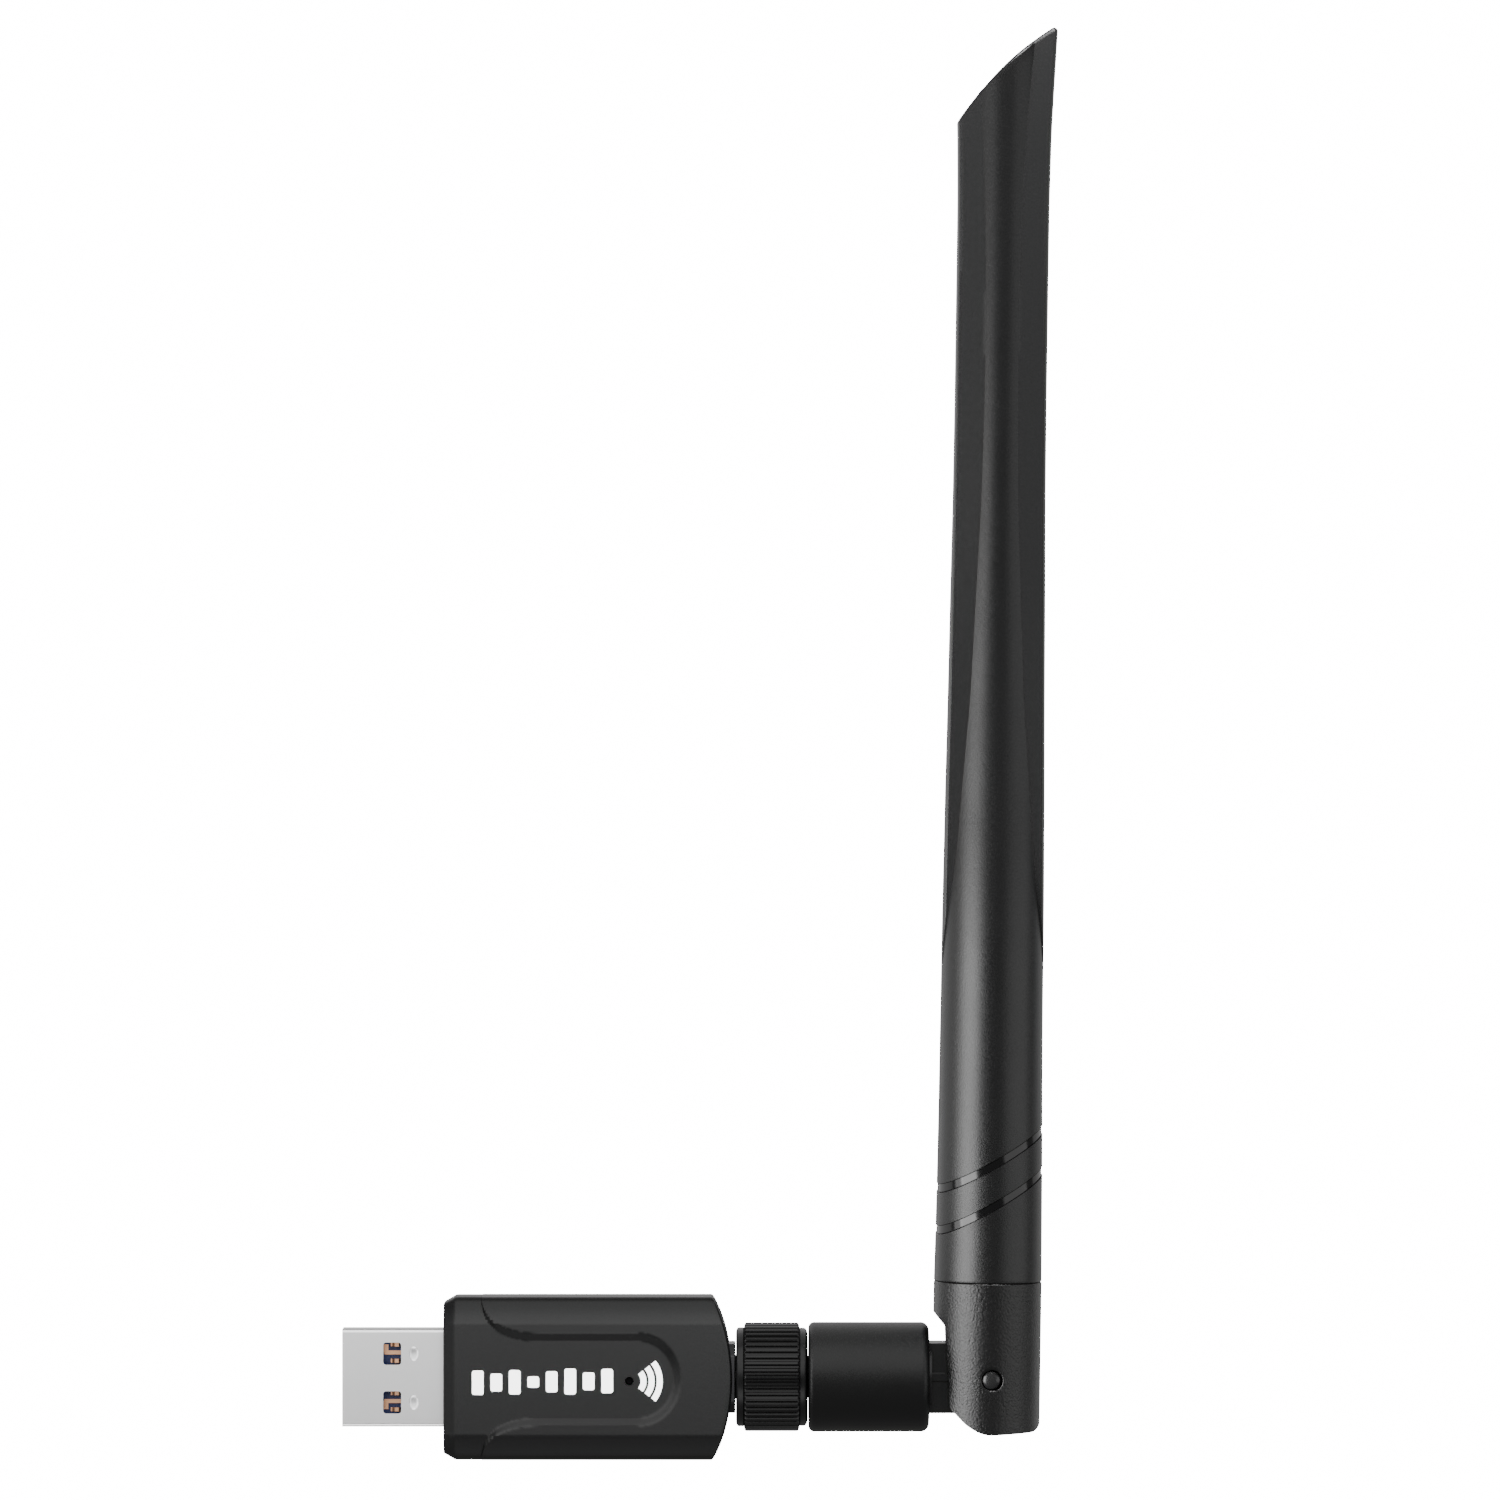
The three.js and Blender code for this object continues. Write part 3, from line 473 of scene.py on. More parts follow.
def cover_rows(side):
    """Rows of points over one half of the housing, from the plug opening to the jack pocket."""
    section = half_section()
    normals = section_normals(section)
    rows = []
    for x in (PLUG_OPENING_DEPTH, 0.0):
        rows.append([(x, *reversed(onto(z, y + 1e-9, PLUG_HOLE))) for z, y in section])
    for x, inset in bevel_steps():
        rows.append([(x, y - ny * inset, z - nz * inset) for (z, y), (nz, ny) in zip(section, normals)])
    for x in body_stations():
        rows.append([(x, y, z) for z, y in section])
    last = body_stations()[-1]
    for i in range(1, 21):
        share = i / 20
        rows.append([(last + (end_x(z) - END_FILLET - last) * share, y, z) for z, y in section])
    for i in range(1, 5):
        angle = math.radians(90 * i / 4)
        inset = END_FILLET * (1 - math.cos(angle))
        row = []
        for (z, y), (nz, ny) in zip(section, normals):
            row.append((end_x(z) - END_FILLET * (1 - math.sin(angle)), y - ny * inset, z - nz * inset))
        rows.append(row)
    rim = rows[-1]
    for i in range(1, 5):
        row = []
        for _, y, z in rim:
            pocket_z, pocket_y = onto(z, y + 1e-9, JACK_POCKET)
            new_z = z + (pocket_z - z) * i / 4
            row.append((end_x(new_z), y + (pocket_y - y) * i / 4, new_z))
        rows.append(row)
    rows.append([(POCKET_END, y, z) for _, y, z in rows[-1]])
    return [[sunken(side, *point) for point in row] for row in rows]


def bevel_steps():
    """(x, inset) along the plug-end bevel, with both of its edges rounded."""
    steps = [(0.0, BEVEL_DEPTH + 0.12), (0.02, BEVEL_DEPTH + 0.03), (0.09, BEVEL_DEPTH - 0.05)]
    for i in range(1, 5):
        inset = (BEVEL_DEPTH - 0.05) * (1 - i / 4) + 0.05 * i / 4
        steps.append((0.09 + (BEVEL_LENGTH - 0.25) * i / 4, inset))
    return steps + [(BEVEL_LENGTH, 0.01)]


def body_stations():
    """Where the housing has a row along X: close together where the band flares."""
    coarse = [BEVEL_LENGTH + 0.3 * i for i in range(1, 10)]
    fine = [4.4 + 0.07 * i for i in range(32)]
    rest = [fine[-1] + 0.2 * i for i in range(1, 118)]
    return coarse + fine + rest


def sunken(side, x, y, z):
    """Lowers a point of the cover where it is inside the band, and puts it on its side."""
    share = 0.0
    if x > 0.001 or y > 2.5:
        share = (1 - band_share(x, z)) * min(max((y - 0.4) / 2.0, 0.0), 1.0)
    if x > 30.5 or (x < 1.3 and y < 2.4):
        share = 0.0
    return (x, side * (y - RECESS_DEPTH * share), z)


def make_cover(side):
    name = "housing_front_shell" if side < 0 else "housing_back_shell"
    rows = cover_rows(side)
    faces = grid_faces(len(rows), len(rows[0]), False)
    mesh = mesh_from(name, [p for row in rows for p in row], faces)
    holder = bpy.data.objects.new("thick", mesh)
    bpy.context.scene.collection.objects.link(holder)
    wall = holder.modifiers.new("wall", "SOLIDIFY")
    wall.thickness = WALL * MM
    wall.offset = -1
    mesh = evaluated(holder)
    bpy.data.objects.remove(holder)
    if side < 0:
        hole = rod("led_hole", -6, -2.6, LED[2], 48, "y", (LED[0], 0, LED[1]))
        mesh = combined(mesh, ("DIFFERENCE", hole))
    piece = finished(name, mesh, HOUSING_BLACK, 19, True)
    node = "housing_front_cover" if side < 0 else "housing_back_cover"
    return place(piece, "dongle", "housing_black", node)


def make_housing():
    for side in (-1, 1):
        make_cover(side)


# ------------------------------------------------------------------ print on the front


def flat_mark(name, outlines, depth=0.02):
    """White ink on the sunken face: each outline of (x, z) is a thin plate of its own."""
    face = -(HALF_THICK - RECESS_DEPTH)
    points, faces = [], []
    for outline in outlines:
        first = len(points)
        count = len(outline)
        points += [(x, face - depth, z) for x, z in outline]
        points += [(x, face + 0.03, z) for x, z in outline]
        faces.append(tuple(range(first, first + count)))
        faces.append(tuple(range(first + count, first + 2 * count)))
        for i in range(count):
            j = (i + 1) % count
            faces.append((first + i, first + j, first + count + j, first + count + i))
    mesh = faced_out(raw_mesh(name, points, faces))
    return place(finished(name, mesh, INK_WHITE), "dongle", "insulator_white")


def make_print():
    bars = []
    heights = (3.0, 2.2, 3.0, 1.4, 2.6, 3.2, 2.2, 3.0)
    for i, height in enumerate(heights):
        x = 4.27 + i * 2.27
        bars.append(rounded(0.72, height / 2, 0.3, 4, (x, -0.4 + i * 0.03)))
    flat_mark("level_bars", bars)
    waves = []
    for radius in (1.75, 2.75, 3.75):
        outer = arc(LED[0], LED[1], radius + 0.36, -38, 38, 24)
        inner = arc(LED[0], LED[1], radius - 0.36, 38, -38, 24)
        waves.append(outer + inner)
    flat_mark("radio_waves", waves)


# ------------------------------------------------------------------ USB plug and jack


def dent(x, y, z):
    """An oval ball that leaves a shallow dimple in the plug's face."""
    work = bmesh.new()
    bmesh.ops.create_uvsphere(work, u_segments=32, v_segments=20, radius=1)
    mesh = bpy.data.meshes.new("dent")
    work.to_mesh(mesh)
    work.free()
    size = Matrix.Diagonal((0.58 * MM, 0.24 * MM, 0.9 * MM, 1))
    mesh.transform(Matrix.Translation((x * MM, y * MM, z * MM)) @ size)
    return mesh


def make_plug():
    outer = bar("shell", rounded(2.25, 6, 0.45, 6), -12.5, 3.8)
    inner = bar("inner", rounded(1.95, 5.7, 0.25, 5), -14, 5)
    cuts = [("DIFFERENCE", inner)]
    for z in (-3, 3):
        cuts.append(("DIFFERENCE", prism("window", rounded(1.1, 1.375, 0.35, 5, (-6.34, z)), -4, 4)))
        cuts += [("DIFFERENCE", dent(-3.67, side * 2.25, z)) for side in (-1, 1)]
    mesh = softened(combined(outer, *cuts), 0.1, 40, 3)
    place(finished("usb_plug_shell", mesh, PLUG_STEEL, 40, True), "dongle", "plug_steel", "usb_shell")


def octagon(half, flat):
    return [
        (half, -flat), (half, flat), (flat, half), (-flat, half),
        (-half, flat), (-half, -flat), (-flat, -half), (flat, -half),
    ]


def thread_rings(root, crest, start, turns, steps=48):
    """Sections of a screw thread, one after another along its helix."""
    pitch, root_half, crest_half = 0.70556, 0.22, 0.06
    rings = []
    for i in range(int(turns * steps) + 1):
        angle = 2 * math.pi * i / steps
        x = start + pitch * i / steps
        c, s = math.cos(angle), math.sin(angle)
        corners = ((-root_half, root), (root_half, root), (crest_half, crest), (-crest_half, crest))
        rings.append([(x + dx, r * c, r * s) for dx, r in corners])
    return rings


def make_jack():
    flange = softened(bar("flange", octagon(4.25, 2.9), 34.3, 35.9), 0.15, 30, 2)
    barrel = turned("barrel", [
        (34.2, 2.05), (34.2, 2.7), (42.95, 2.7), (43.2, 2.5),
        (43.2, 2.3), (41.5, 2.3), (41.5, 2.05), (34.2, 2.05),
    ], 64)
    thread = lofted("thread", thread_rings(2.62, 3.13, 36.5, 9))
    mesh = merged("jack_fine", [flange, barrel, thread])
    place(finished("antenna_jack", mesh, JACK_NICKEL, 40, True), "dongle", "jack_nickel", "jack_body")


# ------------------------------------------------------------------ coupling nut


# share of a rib's pitch, and share of its height
RIB_SHAPE = (
    (0.0, 0), (0.14, 0), (0.2, 0.25), (0.27, 0.8), (0.34, 1),
    (0.5, 1), (0.66, 1), (0.73, 0.8), (0.8, 0.25), (0.86, 0),
)
# x and radius: up the bore and over the collar on the housing's side
NUT_COLLAR = (
    (43.0, 3.5), (43.0, 4.4), (36.3, 4.4), (36.0, 4.55), (35.97, 4.7), (35.97, 5.55),
    (36.02, 5.8), (36.15, 6.03), (36.35, 6.1), (36.85, 6.1), (36.93, 6.05),
)
# x, crest and valley along the ribs
NUT_RIBBED = (
    (36.95, 6.15, 6.0), (37.05, 6.53, 6.3), (37.2, 6.68, 6.36),
    (43.55, 6.68, 6.36), (43.7, 6.53, 6.3), (43.8, 6.15, 6.0),
)
# x and radius: over the end on the barrel's side, and back to the bore
NUT_END = (
    (43.82, 6.02), (43.9, 6.05), (44.35, 6.05), (44.58, 5.93), (44.72, 5.7),
    (44.8, 5.4), (44.8, 3.6), (44.75, 3.5), (43.0, 3.5),
)


def rib_ring(x, crest, valley):
    """A ring around the nut that goes up over each rib and down into each valley."""
    ring = []
    for rib in range(NUT_RIBS):
        for part, height in RIB_SHAPE:
            radius = valley + (crest - valley) * height
            angle = 2 * math.pi * (rib + part) / NUT_RIBS
            ring.append((x, radius * math.cos(angle), radius * math.sin(angle)))
    return ring


def plain_ring(x, radius, count):
    angles = [2 * math.pi * i / count for i in range(count)]
    return [(x, radius * math.cos(angle), radius * math.sin(angle)) for angle in angles]


def make_nut():
    count = NUT_RIBS * len(RIB_SHAPE)
    rings = [plain_ring(x, radius, count) for x, radius in NUT_COLLAR]
    rings += [rib_ring(*row) for row in NUT_RIBBED]
    rings += [plain_ring(x, radius, count) for x, radius in NUT_END]
    mesh = lofted("nut", rings, caps=False)
    place(finished("ribbed_nut", mesh, NUT_BLACK, 30), "coupling_nut", "nut_black", "nut_grip")


# ------------------------------------------------------------------ swivel barrel, knuckle and pins


def fillet_profile(corners, radii, steps=6):
    """A closed profile whose corners are rounded by the radii given, in order."""
    points = []
    count = len(corners)
    for i in range(count):
        here = Vector(corners[i])
        radius = radii[i]
        if not radius:
            points.append(tuple(here))
            continue
        back = (Vector(corners[i - 1]) - here).normalized()
        on = (Vector(corners[(i + 1) % count]) - here).normalized()
        half = back.angle(on) / 2
        reach = radius / math.tan(half)
        start, end = here + back * reach, here + on * reach
        centre = here + (back + on).normalized() * (radius / math.sin(half))
        for k in range(steps + 1):
            arm = (start - centre).lerp(end - centre, k / steps).normalized() * radius
            points.append(tuple(centre + arm))
    return points


def make_barrel():
    start, end, radius = BARREL
    corners = [
        (start, 2.78), (start, radius), (end, radius), (end, 4.4),
        (51.7, 4.4), (51.7, 3.65), (45.9, 3.65), (45.9, 2.78),
    ]
    profile = fillet_profile(corners, [0, 0.7, 1.0, 0.25, 0, 0, 0, 0])
    mesh = turned("barrel", profile + profile[:1], 160)
    place(finished("swivel_sleeve", mesh, SLEEVE_BLACK, 30), "swivel", "sleeve_black", "swivel_barrel")


def make_knuckle():
    half = 4.3
    outline = [(59.2, -half)] + arc(PIVOT_X, 0, half, -90, 90, 48) + [(59.2, half)]
    tongue = prism("tongue", outline, -2.7, 2.7)
    steps = [
        ("UNION", rod("stem", 52, 60.05, 4.25, 96)),
        ("DIFFERENCE", cuboid("slot", PIVOT_X - 4.2, PIVOT_X + 6, -1.2, 1.2, -1, 6)),
        ("DIFFERENCE", rod("bore", 50, 65, 1.1, 32)),
        ("DIFFERENCE", rod("pin_hole", -4, 4, 1.1, 48, "y", (PIVOT_X, 0, 0))),
    ]
    mesh = softened(combined(tongue, *steps), 0.22, 35, 3)
    rib = softened(cuboid("rib", 59.4, 62.9, -2.82, -2.4, -0.42, 0.7), 0.12, 35, 3)
    back = softened(cuboid("rib", 59.4, 62.9, 2.4, 2.82, -0.42, 0.7), 0.12, 35, 3)
    whole = merged("knuckle", [mesh, rib, back])
    place(finished("knuckle_tongue", whole, KNUCKLE_PAINTED_LIGHT, 40, True), "swivel", "knuckle_black", "knuckle")


def make_pins():
    angles = [math.radians(degrees) for degrees in range(0, 90, 9)]
    dome = [(6.1 + 0.4 * math.sin(angle), 1.12 * math.cos(angle)) for angle in angles]
    for side, name in ((-1, "front"), (1, "back")):
        profile = [(1.25, 0), (1.25, 1.12)] + dome + [(6.5, 0)]
        mirrored = [(side * along, radius) for along, radius in profile]
        mesh = turned("pin", mirrored, 64, "y", (PIVOT_X, 0, 0))
        piece = finished("pivot_pin_dome_" + name, mesh, PIN_PAINTED_LIGHT, 40)
        place(piece, "swivel", "knuckle_black", "pivot_pin_" + name)


def make_coax():
    """The cable that bends at the pivot, from the sleeve up into the antenna."""
    radius, reach = 0.6, 2.6
    top = PIVOT_X + AXIS_X
    path = [(63.0 + 0.2 * i, 0.0, 0.0) for i in range(6)]
    for i in range(25):
        angle = math.pi / 2 * i / 24
        path.append((top - reach + reach * math.sin(angle), reach - reach * math.cos(angle), angle))
    path += [(top + 0.015 * i, reach + 0.3 * i, math.pi / 2) for i in range(1, 9)]
    rings = []
    for x, z, angle in path:
        ring = []
        for k in range(20):
            around = 2 * math.pi * k / 20
            up = radius * math.sin(around)
            ring.append((x - up * math.sin(angle), radius * math.cos(around), z + up * math.cos(angle)))
        rings.append(ring)
    piece = finished("coax_bend_soft", lofted("coax", rings), COAX_JACKET, 60)
    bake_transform(piece)
    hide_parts("coax_bend")


# ------------------------------------------------------------------ antenna base and cover


def make_base():
    slot_half, reach = 2.85, 4.75
    corners = [
        (6.3, 12.5), (6.25, -6.42), (-0.85, -6.79), (-2.95, -5.63),
        (-5.02, -3.57), (-5.6, 6.3), (-7.2, 8.15), (-7.2, 12.5),
    ]
    outline = fillet_profile(corners, [0, 1.3, 4.0, 6.0, 1.5, 0.5, 0.4, 0], 8)
    profile = [
        (-7, 0), (-7, BASE_RADIUS), (BASE_TOP - 0.1, BASE_RADIUS),
        (BASE_TOP, BASE_RADIUS - 0.1), (BASE_TOP, 0),
    ]
    round_part = turned("round", profile, 160, "z", (AXIS_X, 0, 0))
    steps = [
        ("INTERSECT", prism("outline", outline, -8, 8)),
        ("DIFFERENCE", cuboid("slot", -9, reach, -slot_half, slot_half, -9, reach)),
        ("DIFFERENCE", rod("channel", 0, 14, 0.9, 32, "z", (AXIS_X, 0, 0))),
    ]
    body = softened(combined(round_part, *steps), 0.3, 30, 4)
    sink = [(-7.4, 0), (-7.4, 2.99), (-6.34, 1.28), (6.34, 1.28), (7.4, 2.99), (7.4, 0)]
    steps = [
        ("DIFFERENCE", rod("pin_hole", -8, 8, 1.22, 64, "y")),
        ("DIFFERENCE", turned("pin_sink", sink, 64, "y", (0.15, 0, 0))),
    ]
    mesh = leaned(combined(body, *steps))
    place(finished("antenna_foot", mesh, FOOT_BLACK, 40, True), "antenna", "antenna_black", "antenna_base")


def station(height):
    """The cover's measures at a height, between the stations above and below it."""
    if height <= STATIONS[0][0]:
        return STATIONS[0]
    for low, high in zip(STATIONS, STATIONS[1:]):
        if height <= high[0]:
            share = (height - low[0]) / (high[0] - low[0])
            return tuple(a + (b - a) * share for a, b in zip(low, high))
    return STATIONS[-1]


def smooth_station(height):
    """The station at a height, averaged over its neighbourhood so that the sides run smoothly."""
    reach = 2.0
    samples = [station(height + reach * offset) for offset in (-1, -0.5, 0, 0.5, 1)]
    return tuple(sum(values) / len(samples) for values in zip(*samples))


def smoothstep(value, low, high):
    share = min(max((value - low) / (high - low), 0.0), 1.0)
    return share * share * (3 - 2 * share)


def quarter_section(height):
    """(x, y) from the middle of the rib to the side of the cover, with a crease between rib and wing."""
    _, half, rib_half, radius, depth = smooth_station(height)
    flat = smoothstep(height, 49, 52.5)
    slope = WING_SLOPE * smoothstep(height, 80, 110)
    crease = math.asin(rib_half / radius)
    points = []
    for i in range(RIB_COLUMNS + 1):
        angle = crease * i / RIB_COLUMNS
        points.append((radius * math.sin(angle), depth - radius * (1 - math.cos(angle))))
    start, wing = points[-1]
    edge = min(WING_EDGE, 0.6 * (half - start))
    total = WING_COLUMNS + EDGE_COLUMNS
    for i in range(1, total + 1):
        if i <= WING_COLUMNS:
            along = (half - edge - start) * i / WING_COLUMNS
            slab = (start + along, wing - slope * along)
        else:
            angle = math.pi / 2 * (i - WING_COLUMNS) / EDGE_COLUMNS
            outer = wing - slope * (half - edge - start)
            slab = (half - edge * (1 - math.sin(angle)), outer * math.cos(angle))
        angle = crease + (math.pi / 2 - crease) * i / total
        circle = (half * math.sin(angle), half * math.cos(angle))
        points.append(tuple(c + (s - c) * flat for c, s in zip(circle, slab)))
    return points


def full_section(height, inset=0.0):
    """The whole section as a ring from (+x, 0) over +y to (-x, 0) and back, moved in by inset."""
    quarter = quarter_section(height)[::-1]
    upper = quarter + [(-x, y) for x, y in reversed(quarter[:-1])]
    lower = [(x, -y) for x, y in reversed(upper[1:-1])]
    half = quarter[0][0]
    shrink = 1 - inset / half
    return [(x * shrink, y * (1 - inset / max(half, 3.0))) for x, y in upper + lower]


def tip_height(x):
    """The slanted, slightly domed end of the cover."""
    left, right = Vector(TIP_LEFT), Vector(TIP_RIGHT)
    along = (right - left).normalized()
    across = Vector((-along.y, along.x))
    half = (right - left).length / 2
    middle = (left + right) / 2
    centre = middle - across * math.sqrt(TIP_RADIUS**2 - half**2)
    return centre.y + math.sqrt(max(TIP_RADIUS**2 - (x - centre.x) ** 2, 0))


def slant(height):
    """How much of the grooves' tilt a row at that height takes."""
    if height < GROOVES[0] - 0.6:
        return max((height - BASE_TOP - 0.1) / (GROOVES[0] - 0.6 - BASE_TOP - 0.1), 0.0)
    if height > GROOVES[1] + 0.6:
        return max(1 - (height - GROOVES[1] - 0.6) / 16, 0.0)
    return 1.0


def cover_heights():
    """(height, inset, is_groove) of each row below the tip."""
    rows = [(BASE_TOP + 0.02, 0.12, False), (BASE_TOP + 0.12, 0.02, False), (BASE_TOP + 0.2, 0, False)]
    rows += [(12.3 + 0.8 * i, 0, False) for i in range(10)]
    for middle in GROOVES:
        rows += [(middle + offset, depth, offset == -0.47) for offset, depth in GROOVE_PROFILE]
        rows += [(middle + 0.59 + 0.7 * i, 0, False) for i in range(1, 6)]
    start = rows[-1][0]
    rows += [(start + (TIP_START - start) * i / 150, 0, False) for i in range(1, 151)]
    return rows


def side_rings(rows):
    """The cover from its foot to where its end begins, with the grooves slanted."""
    rings = []
    for height, inset, _ in rows:
        share = slant(height)
        ring = []
        for x, y in full_section(height, inset):
            ring.append((x + AXIS_X, y, height + share * (GROOVE_SLOPE * x + GROOVE_DIP * y)))
        rings.append(ring)
    return rings


@cache
def section_at(height):
    """The section at a height rounded to 0.1 mm, worked out once for each."""
    return full_section(height)


def end_rings():
    """From level up to the slanted end.

    The last ring is worked out in four rounds, because its height depends on its width.
    """
    level = full_section(TIP_START)
    rings = []
    for i in range(1, TIP_ROWS + 1):
        ring = []
        for k, (x, y) in enumerate(level):
            for _ in range(4 if i == TIP_ROWS else 1):
                height = TIP_START + (tip_height(x) - TIP_FILLET - TIP_START) * i / TIP_ROWS
                x, y = section_at(round(height, 1))[k]
            ring.append((x + AXIS_X, y, height))
        rings.append(ring)
    return rings


def rim_rings(last):
    """Rounds the edge of the slanted end, from its last ring inward."""
    rings = []
    for i in range(1, 7):
        angle = math.pi / 2 * i / 6
        inset = TIP_FILLET * (1 - math.cos(angle))
        lift = TIP_FILLET * math.sin(angle)
        ring = []
        for x, y, z in last:
            local = x - AXIS_X
            ring.append((AXIS_X + local * (1 - inset / 5.7), y * (1 - inset / 3.0), z + lift))
        rings.append(ring)
    return rings


def end_faces(first, count):
    """Closes the ring that starts at first with strips across it, from one side to the other."""
    faces = []
    for i in range(count // 2):
        a, b = first + i, first + i + 1
        c, d = first + count - i - 1, first + (count - i) % count
        faces.append(tuple(dict.fromkeys((a, b, c, d))))
    return faces


def paint_cover(mesh, rows, rings):
    """Gives the grooves a gloss material of their own, and the wings a lighter copy of the cover's black:
    painted light on the wings.
    """
    mesh.materials.append(GROOVE_GLOSS)
    mesh.materials.append(WING_PAINTED_LIGHT)
    count = len(rings[0])
    half = 2 * (RIB_COLUMNS + WING_COLUMNS + EDGE_COLUMNS)
    glossy = {row for row, (_, _, is_groove) in enumerate(rows) if is_groove}
    for index in range((len(rings) - 1) * count):
        row, column = divmod(index, count)
        from_side = min(column % half, half - 1 - column % half)
        if row in glossy:
            mesh.polygons[index].material_index = 1
        # wing faces get the lighter black, which paints light onto them
        elif rings[row][0][2] > WING_START and from_side < WING_COLUMNS + EDGE_COLUMNS:
            mesh.polygons[index].material_index = 2


def make_antenna_cover():
    rows = cover_heights()
    rings = side_rings(rows)
    rings += end_rings()
    rings += rim_rings(rings[-1])
    count = len(rings[0])
    faces = grid_faces(len(rings), count, True)
    faces += end_faces((len(rings) - 1) * count, count)
    faces.append(tuple(range(count)))
    mesh = raw_mesh("cover", [point for ring in rings for point in ring], faces)
    piece = finished("antenna_cover_fine", mesh, ANTENNA_BLACK, 22)
    paint_cover(mesh, rows, rings)
    leaned(faced_out(mesh))
    place(piece, "antenna", "antenna_black", "antenna_cover")


# ------------------------------------------------------------------ CAD nodes that stay


def give(surface, *nodes):
    for node in nodes:
        piece = frame["nodes"][node]
        piece.data.materials.clear()
        piece.data.materials.append(surface)


def dress_cad_nodes():
    give(USB_BLUE, "usb_insulator")
    contacts = [name for name in frame["nodes"] if name.startswith(("usb_contact", "usb_spring"))]
    give(CONTACT_GOLD, *contacts)
    give(JACK_NICKEL, "plug_shell")
    give(LIGHT_PIPE, "light_pipe", "status_led")


# ------------------------------------------------------------------ camera, light and floor


def make_camera():
    data = bpy.data.cameras.new("camera")
    data.sensor_width = 36
    data.lens = 201.0
    data.clip_end = 20
    camera = bpy.data.objects.new("camera", data)
    camera.location = (0.0377, -1.033, 0.0773)
    camera.rotation_euler = (math.radians(90), 0, 0)
    bpy.context.scene.collection.objects.link(camera)
    bpy.context.scene.camera = camera


CENTRE = (0.035, 0, 0.07)


def area_light(name, target, direction, rise, distance, size, radiance, lit=()):
    """A soft card seen from its target at that many degrees round from -Y toward +X, and up.

    Where pieces are given, it lights only them, as a screened studio lamp does.
    """
    middle = Vector(target)
    turn, lift = math.radians(direction), math.radians(rise)
    arm = Vector((math.sin(turn) * math.cos(lift), -math.cos(turn) * math.cos(lift), math.sin(lift)))
    data = bpy.data.lights.new(name, "AREA")
    data.shape = "RECTANGLE"
    data.size, data.size_y = size
    data.energy = radiance * math.pi * size[0] * size[1]
    lamp = bpy.data.objects.new(name, data)
    lamp.location = middle + arm * distance
    lamp.rotation_euler = (-arm).to_track_quat("-Z", "Y").to_euler()
    lamp.visible_camera = False
    bpy.context.scene.collection.objects.link(lamp)
    if lit:
        group = bpy.data.collections.new(name + "_lights")
        for piece in lit:
            group.objects.link(piece)
        lamp.light_linking.receiver_collection = group


def make_world():
    world = bpy.data.worlds.new("room")
    bpy.context.scene.world = world
    world.use_nodes = True
    background = world.node_tree.nodes["Background"]
    background.inputs["Color"].default_value = (1, 1, 1, 1)
    background.inputs["Strength"].default_value = 0.2
    area_light("back_card", CENTRE, 190, 25, 1.5, (1.6, 1.2), 0.7)


PIN_NAMES = ("pivot_pin_dome_front", "pivot_pin_dome_back")


def named(pieces, *names):
    return [piece for piece in pieces if piece.name in names]


def light_dongle():
    middle = (0.01, 0, 0)
    lit = RIDERS["dongle"]
    area_light("dongle_front", middle, -2, 18, 0.16, (0.34, 0.13), 1.78, lit)
    area_light("dongle_upper", middle, 0, 65, 1.0, (1.4, 0.9), 0.95, lit)
    area_light("dongle_lower", middle, 0, -62, 1.0, (1.4, 0.8), 0.3, lit)
    area_light("dongle_left", middle, -70, 0, 1.0, (0.9, 0.9), 0.35, lit)
    area_light("print_lamp", middle, 0, 30, 0.5, (0.5, 0.5), 20, named(lit, "level_bars", "radio_waves"))
    plug = named(lit, "usb_plug_shell")
    area_light("plug_over", middle, 0, 62, 0.6, (0.8, 0.5), 2.6, plug)
    area_light("plug_under", middle, 0, -62, 0.6, (0.8, 0.5), 3, plug)
    area_light("plug_left", middle, -68, 0, 0.6, (0.5, 0.8), 2.4, plug)
    area_light("plug_right", middle, 68, 0, 0.6, (0.5, 0.8), 2.4, plug)


def light_joint():
    middle = (0.05, 0, 0)
    swivel = [piece for piece in RIDERS["swivel"] if piece.name not in PIN_NAMES]
    lit = RIDERS["coupling_nut"] + RIDERS["antenna_plug"] + swivel
    area_light("joint_upper", middle, 0, 45, 1.0, (1.4, 1.3), 1.1, lit)
    area_light("joint_over", middle, 0, 112, 1.0, (1.4, 0.9), 0.5, lit)
    area_light("joint_left", middle, -62, 10, 1.0, (0.35, 1.2), 3.5, lit)
    area_light("joint_far_left", middle, -95, 10, 1.0, (0.3, 1.2), 2, lit)
    area_light("joint_right", middle, 62, 10, 1.0, (0.25, 1.2), 2, lit)
    area_light("nut_under", middle, 0, -40, 1.0, (1.2, 0.5), 1.1, RIDERS["coupling_nut"])


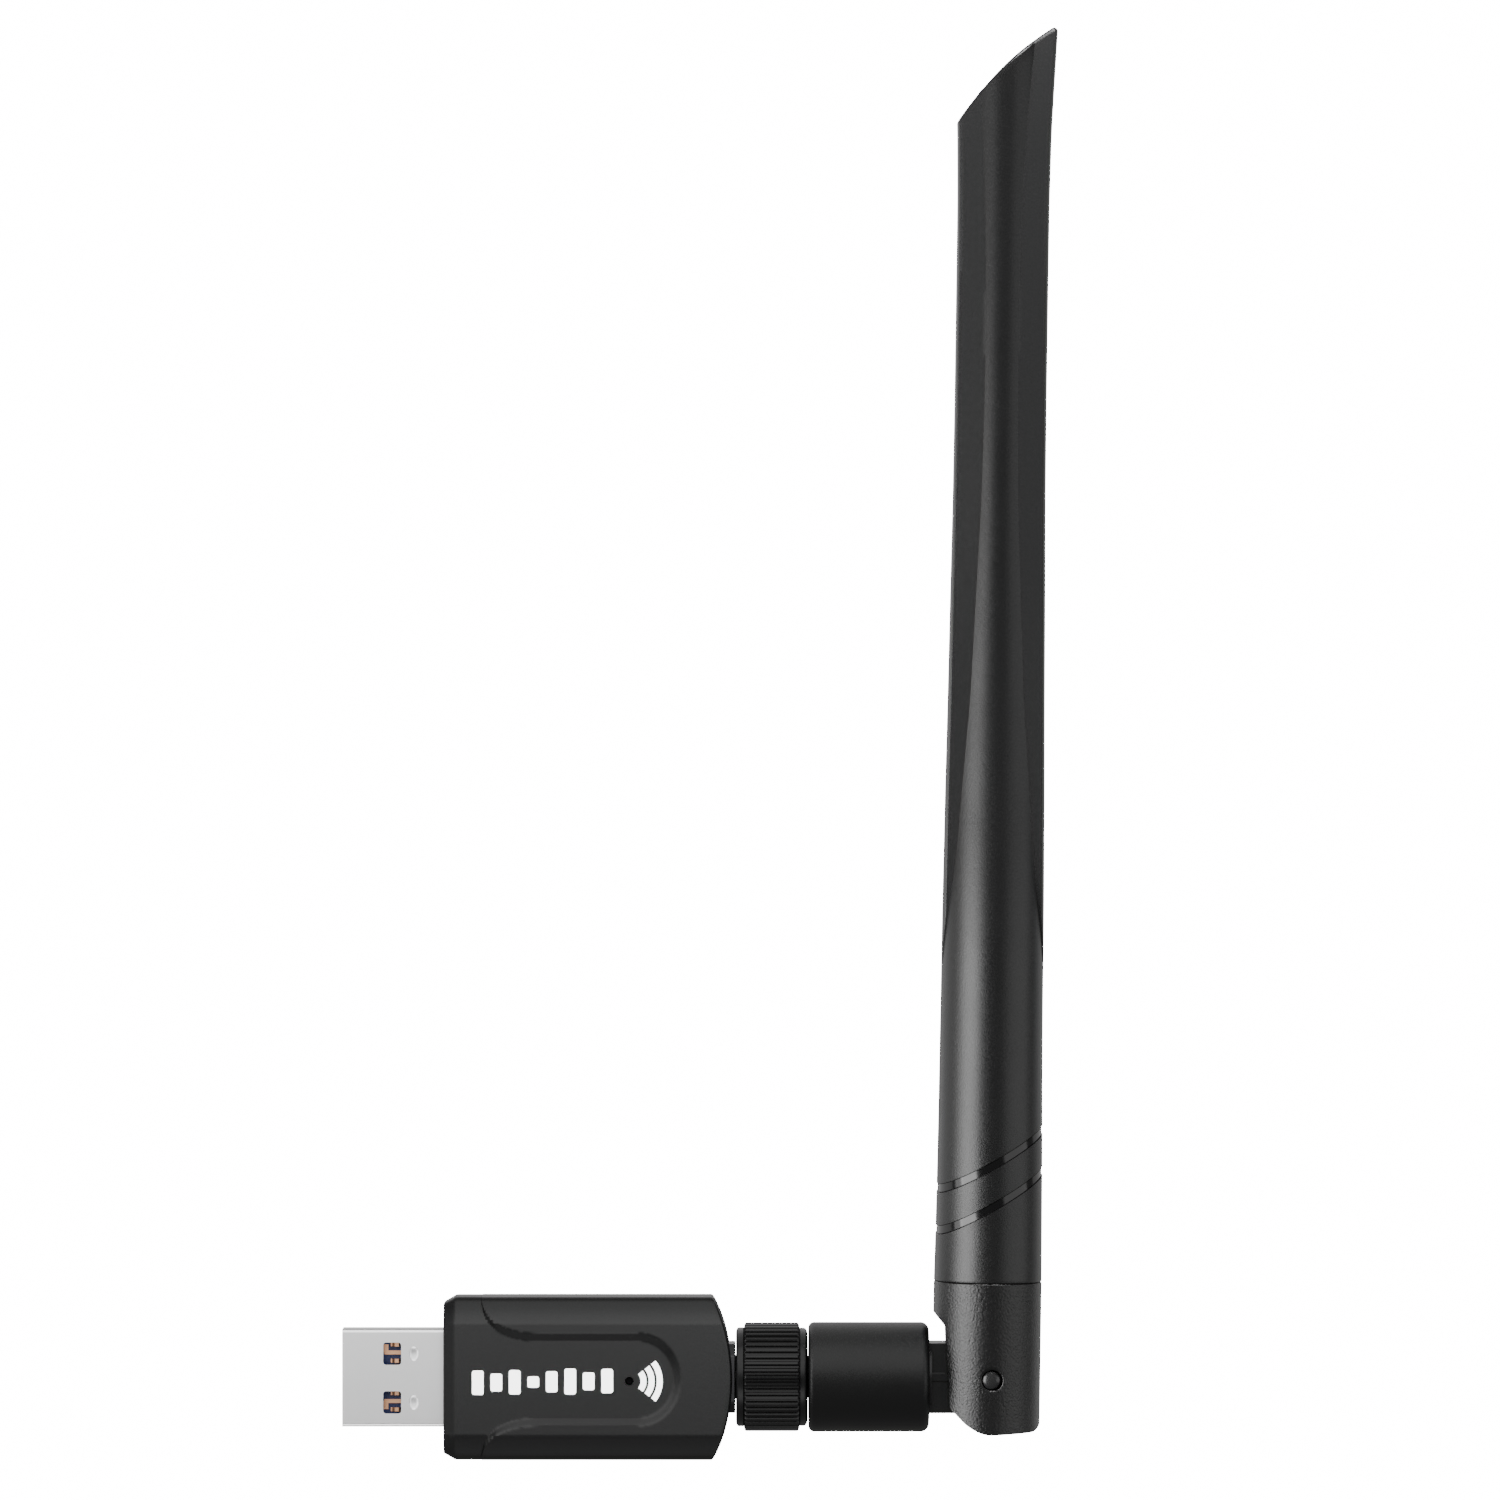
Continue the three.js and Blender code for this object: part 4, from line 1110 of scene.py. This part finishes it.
def light_antenna():
    lit = RIDERS["antenna"] + named(RIDERS["swivel"], *PIN_NAMES)
    foot, middle, tip = (0.067, 0, 0.022), (0.067, 0, 0.08), (0.069, 0, 0.165)
    area_light("antenna_key", foot, -48, 0, 0.2, (0.13, 0.14), 8.6, lit)
    area_light("antenna_side", foot, -72, 0, 0.2, (0.07, 0.14), 2.4, lit)
    area_light("antenna_left", middle, -54, 0, 1.0, (1.1, 1.2), 0.85, lit)
    area_light("antenna_right", (0.067, 0, 0.03), 60, 0, 0.5, (0.56, 0.3), 1.3, lit)
    area_light("antenna_left_rim", middle, -125, 0, 1.0, (1.3, 1.2), 0.8, lit)
    area_light("antenna_right_rim", middle, 135, 0, 1.0, (0.9, 1.2), 0.5, lit)
    area_light("wing_lamp", tip, 16, 58, 0.2, (0.12, 0.12), 25, lit)


def only_seen(piece):
    """Shown to the camera, and left out of the light that reaches the object."""
    piece.visible_diffuse = False
    piece.visible_glossy = False
    piece.visible_transmission = False
    piece.visible_shadow = False


def glowing_white(name):
    """A white bright enough to be seen as plain white behind the object."""
    made = material(name, (0.9, 0.9, 0.9), 0.9, specular=0.0)
    shader = made.node_tree.nodes["Principled BSDF"]
    shader.inputs["Emission Color"].default_value = (1, 1, 1, 1)
    shader.inputs["Emission Strength"].default_value = 16
    return made


def make_floor():
    """A white floor that runs up into a white room."""
    white = glowing_white("studio_white")
    mesh = bpy.data.meshes.new("floor")
    mesh.from_pydata([(x, y, -0.16) for x, y in ((-4, -4), (4, -4), (4, 4), (-4, 4))], [], [(0, 1, 2, 3)])
    floor = bpy.data.objects.new("floor", mesh)
    work = bmesh.new()
    bmesh.ops.create_icosphere(work, subdivisions=3, radius=5)
    dome = bpy.data.meshes.new("backdrop")
    work.to_mesh(dome)
    work.free()
    backdrop = bpy.data.objects.new("backdrop", dome)
    for piece in (floor, backdrop):
        piece.data.materials.append(white)
        bpy.context.scene.collection.objects.link(piece)
        only_seen(piece)


make_camera()
make_floor()
dress_cad_nodes()
make_housing()
make_print()
make_plug()
make_jack()
make_nut()
make_barrel()
make_knuckle()
make_pins()
make_coax()
make_base()
make_antenna_cover()
make_world()
light_dongle()
light_joint()
light_antenna()
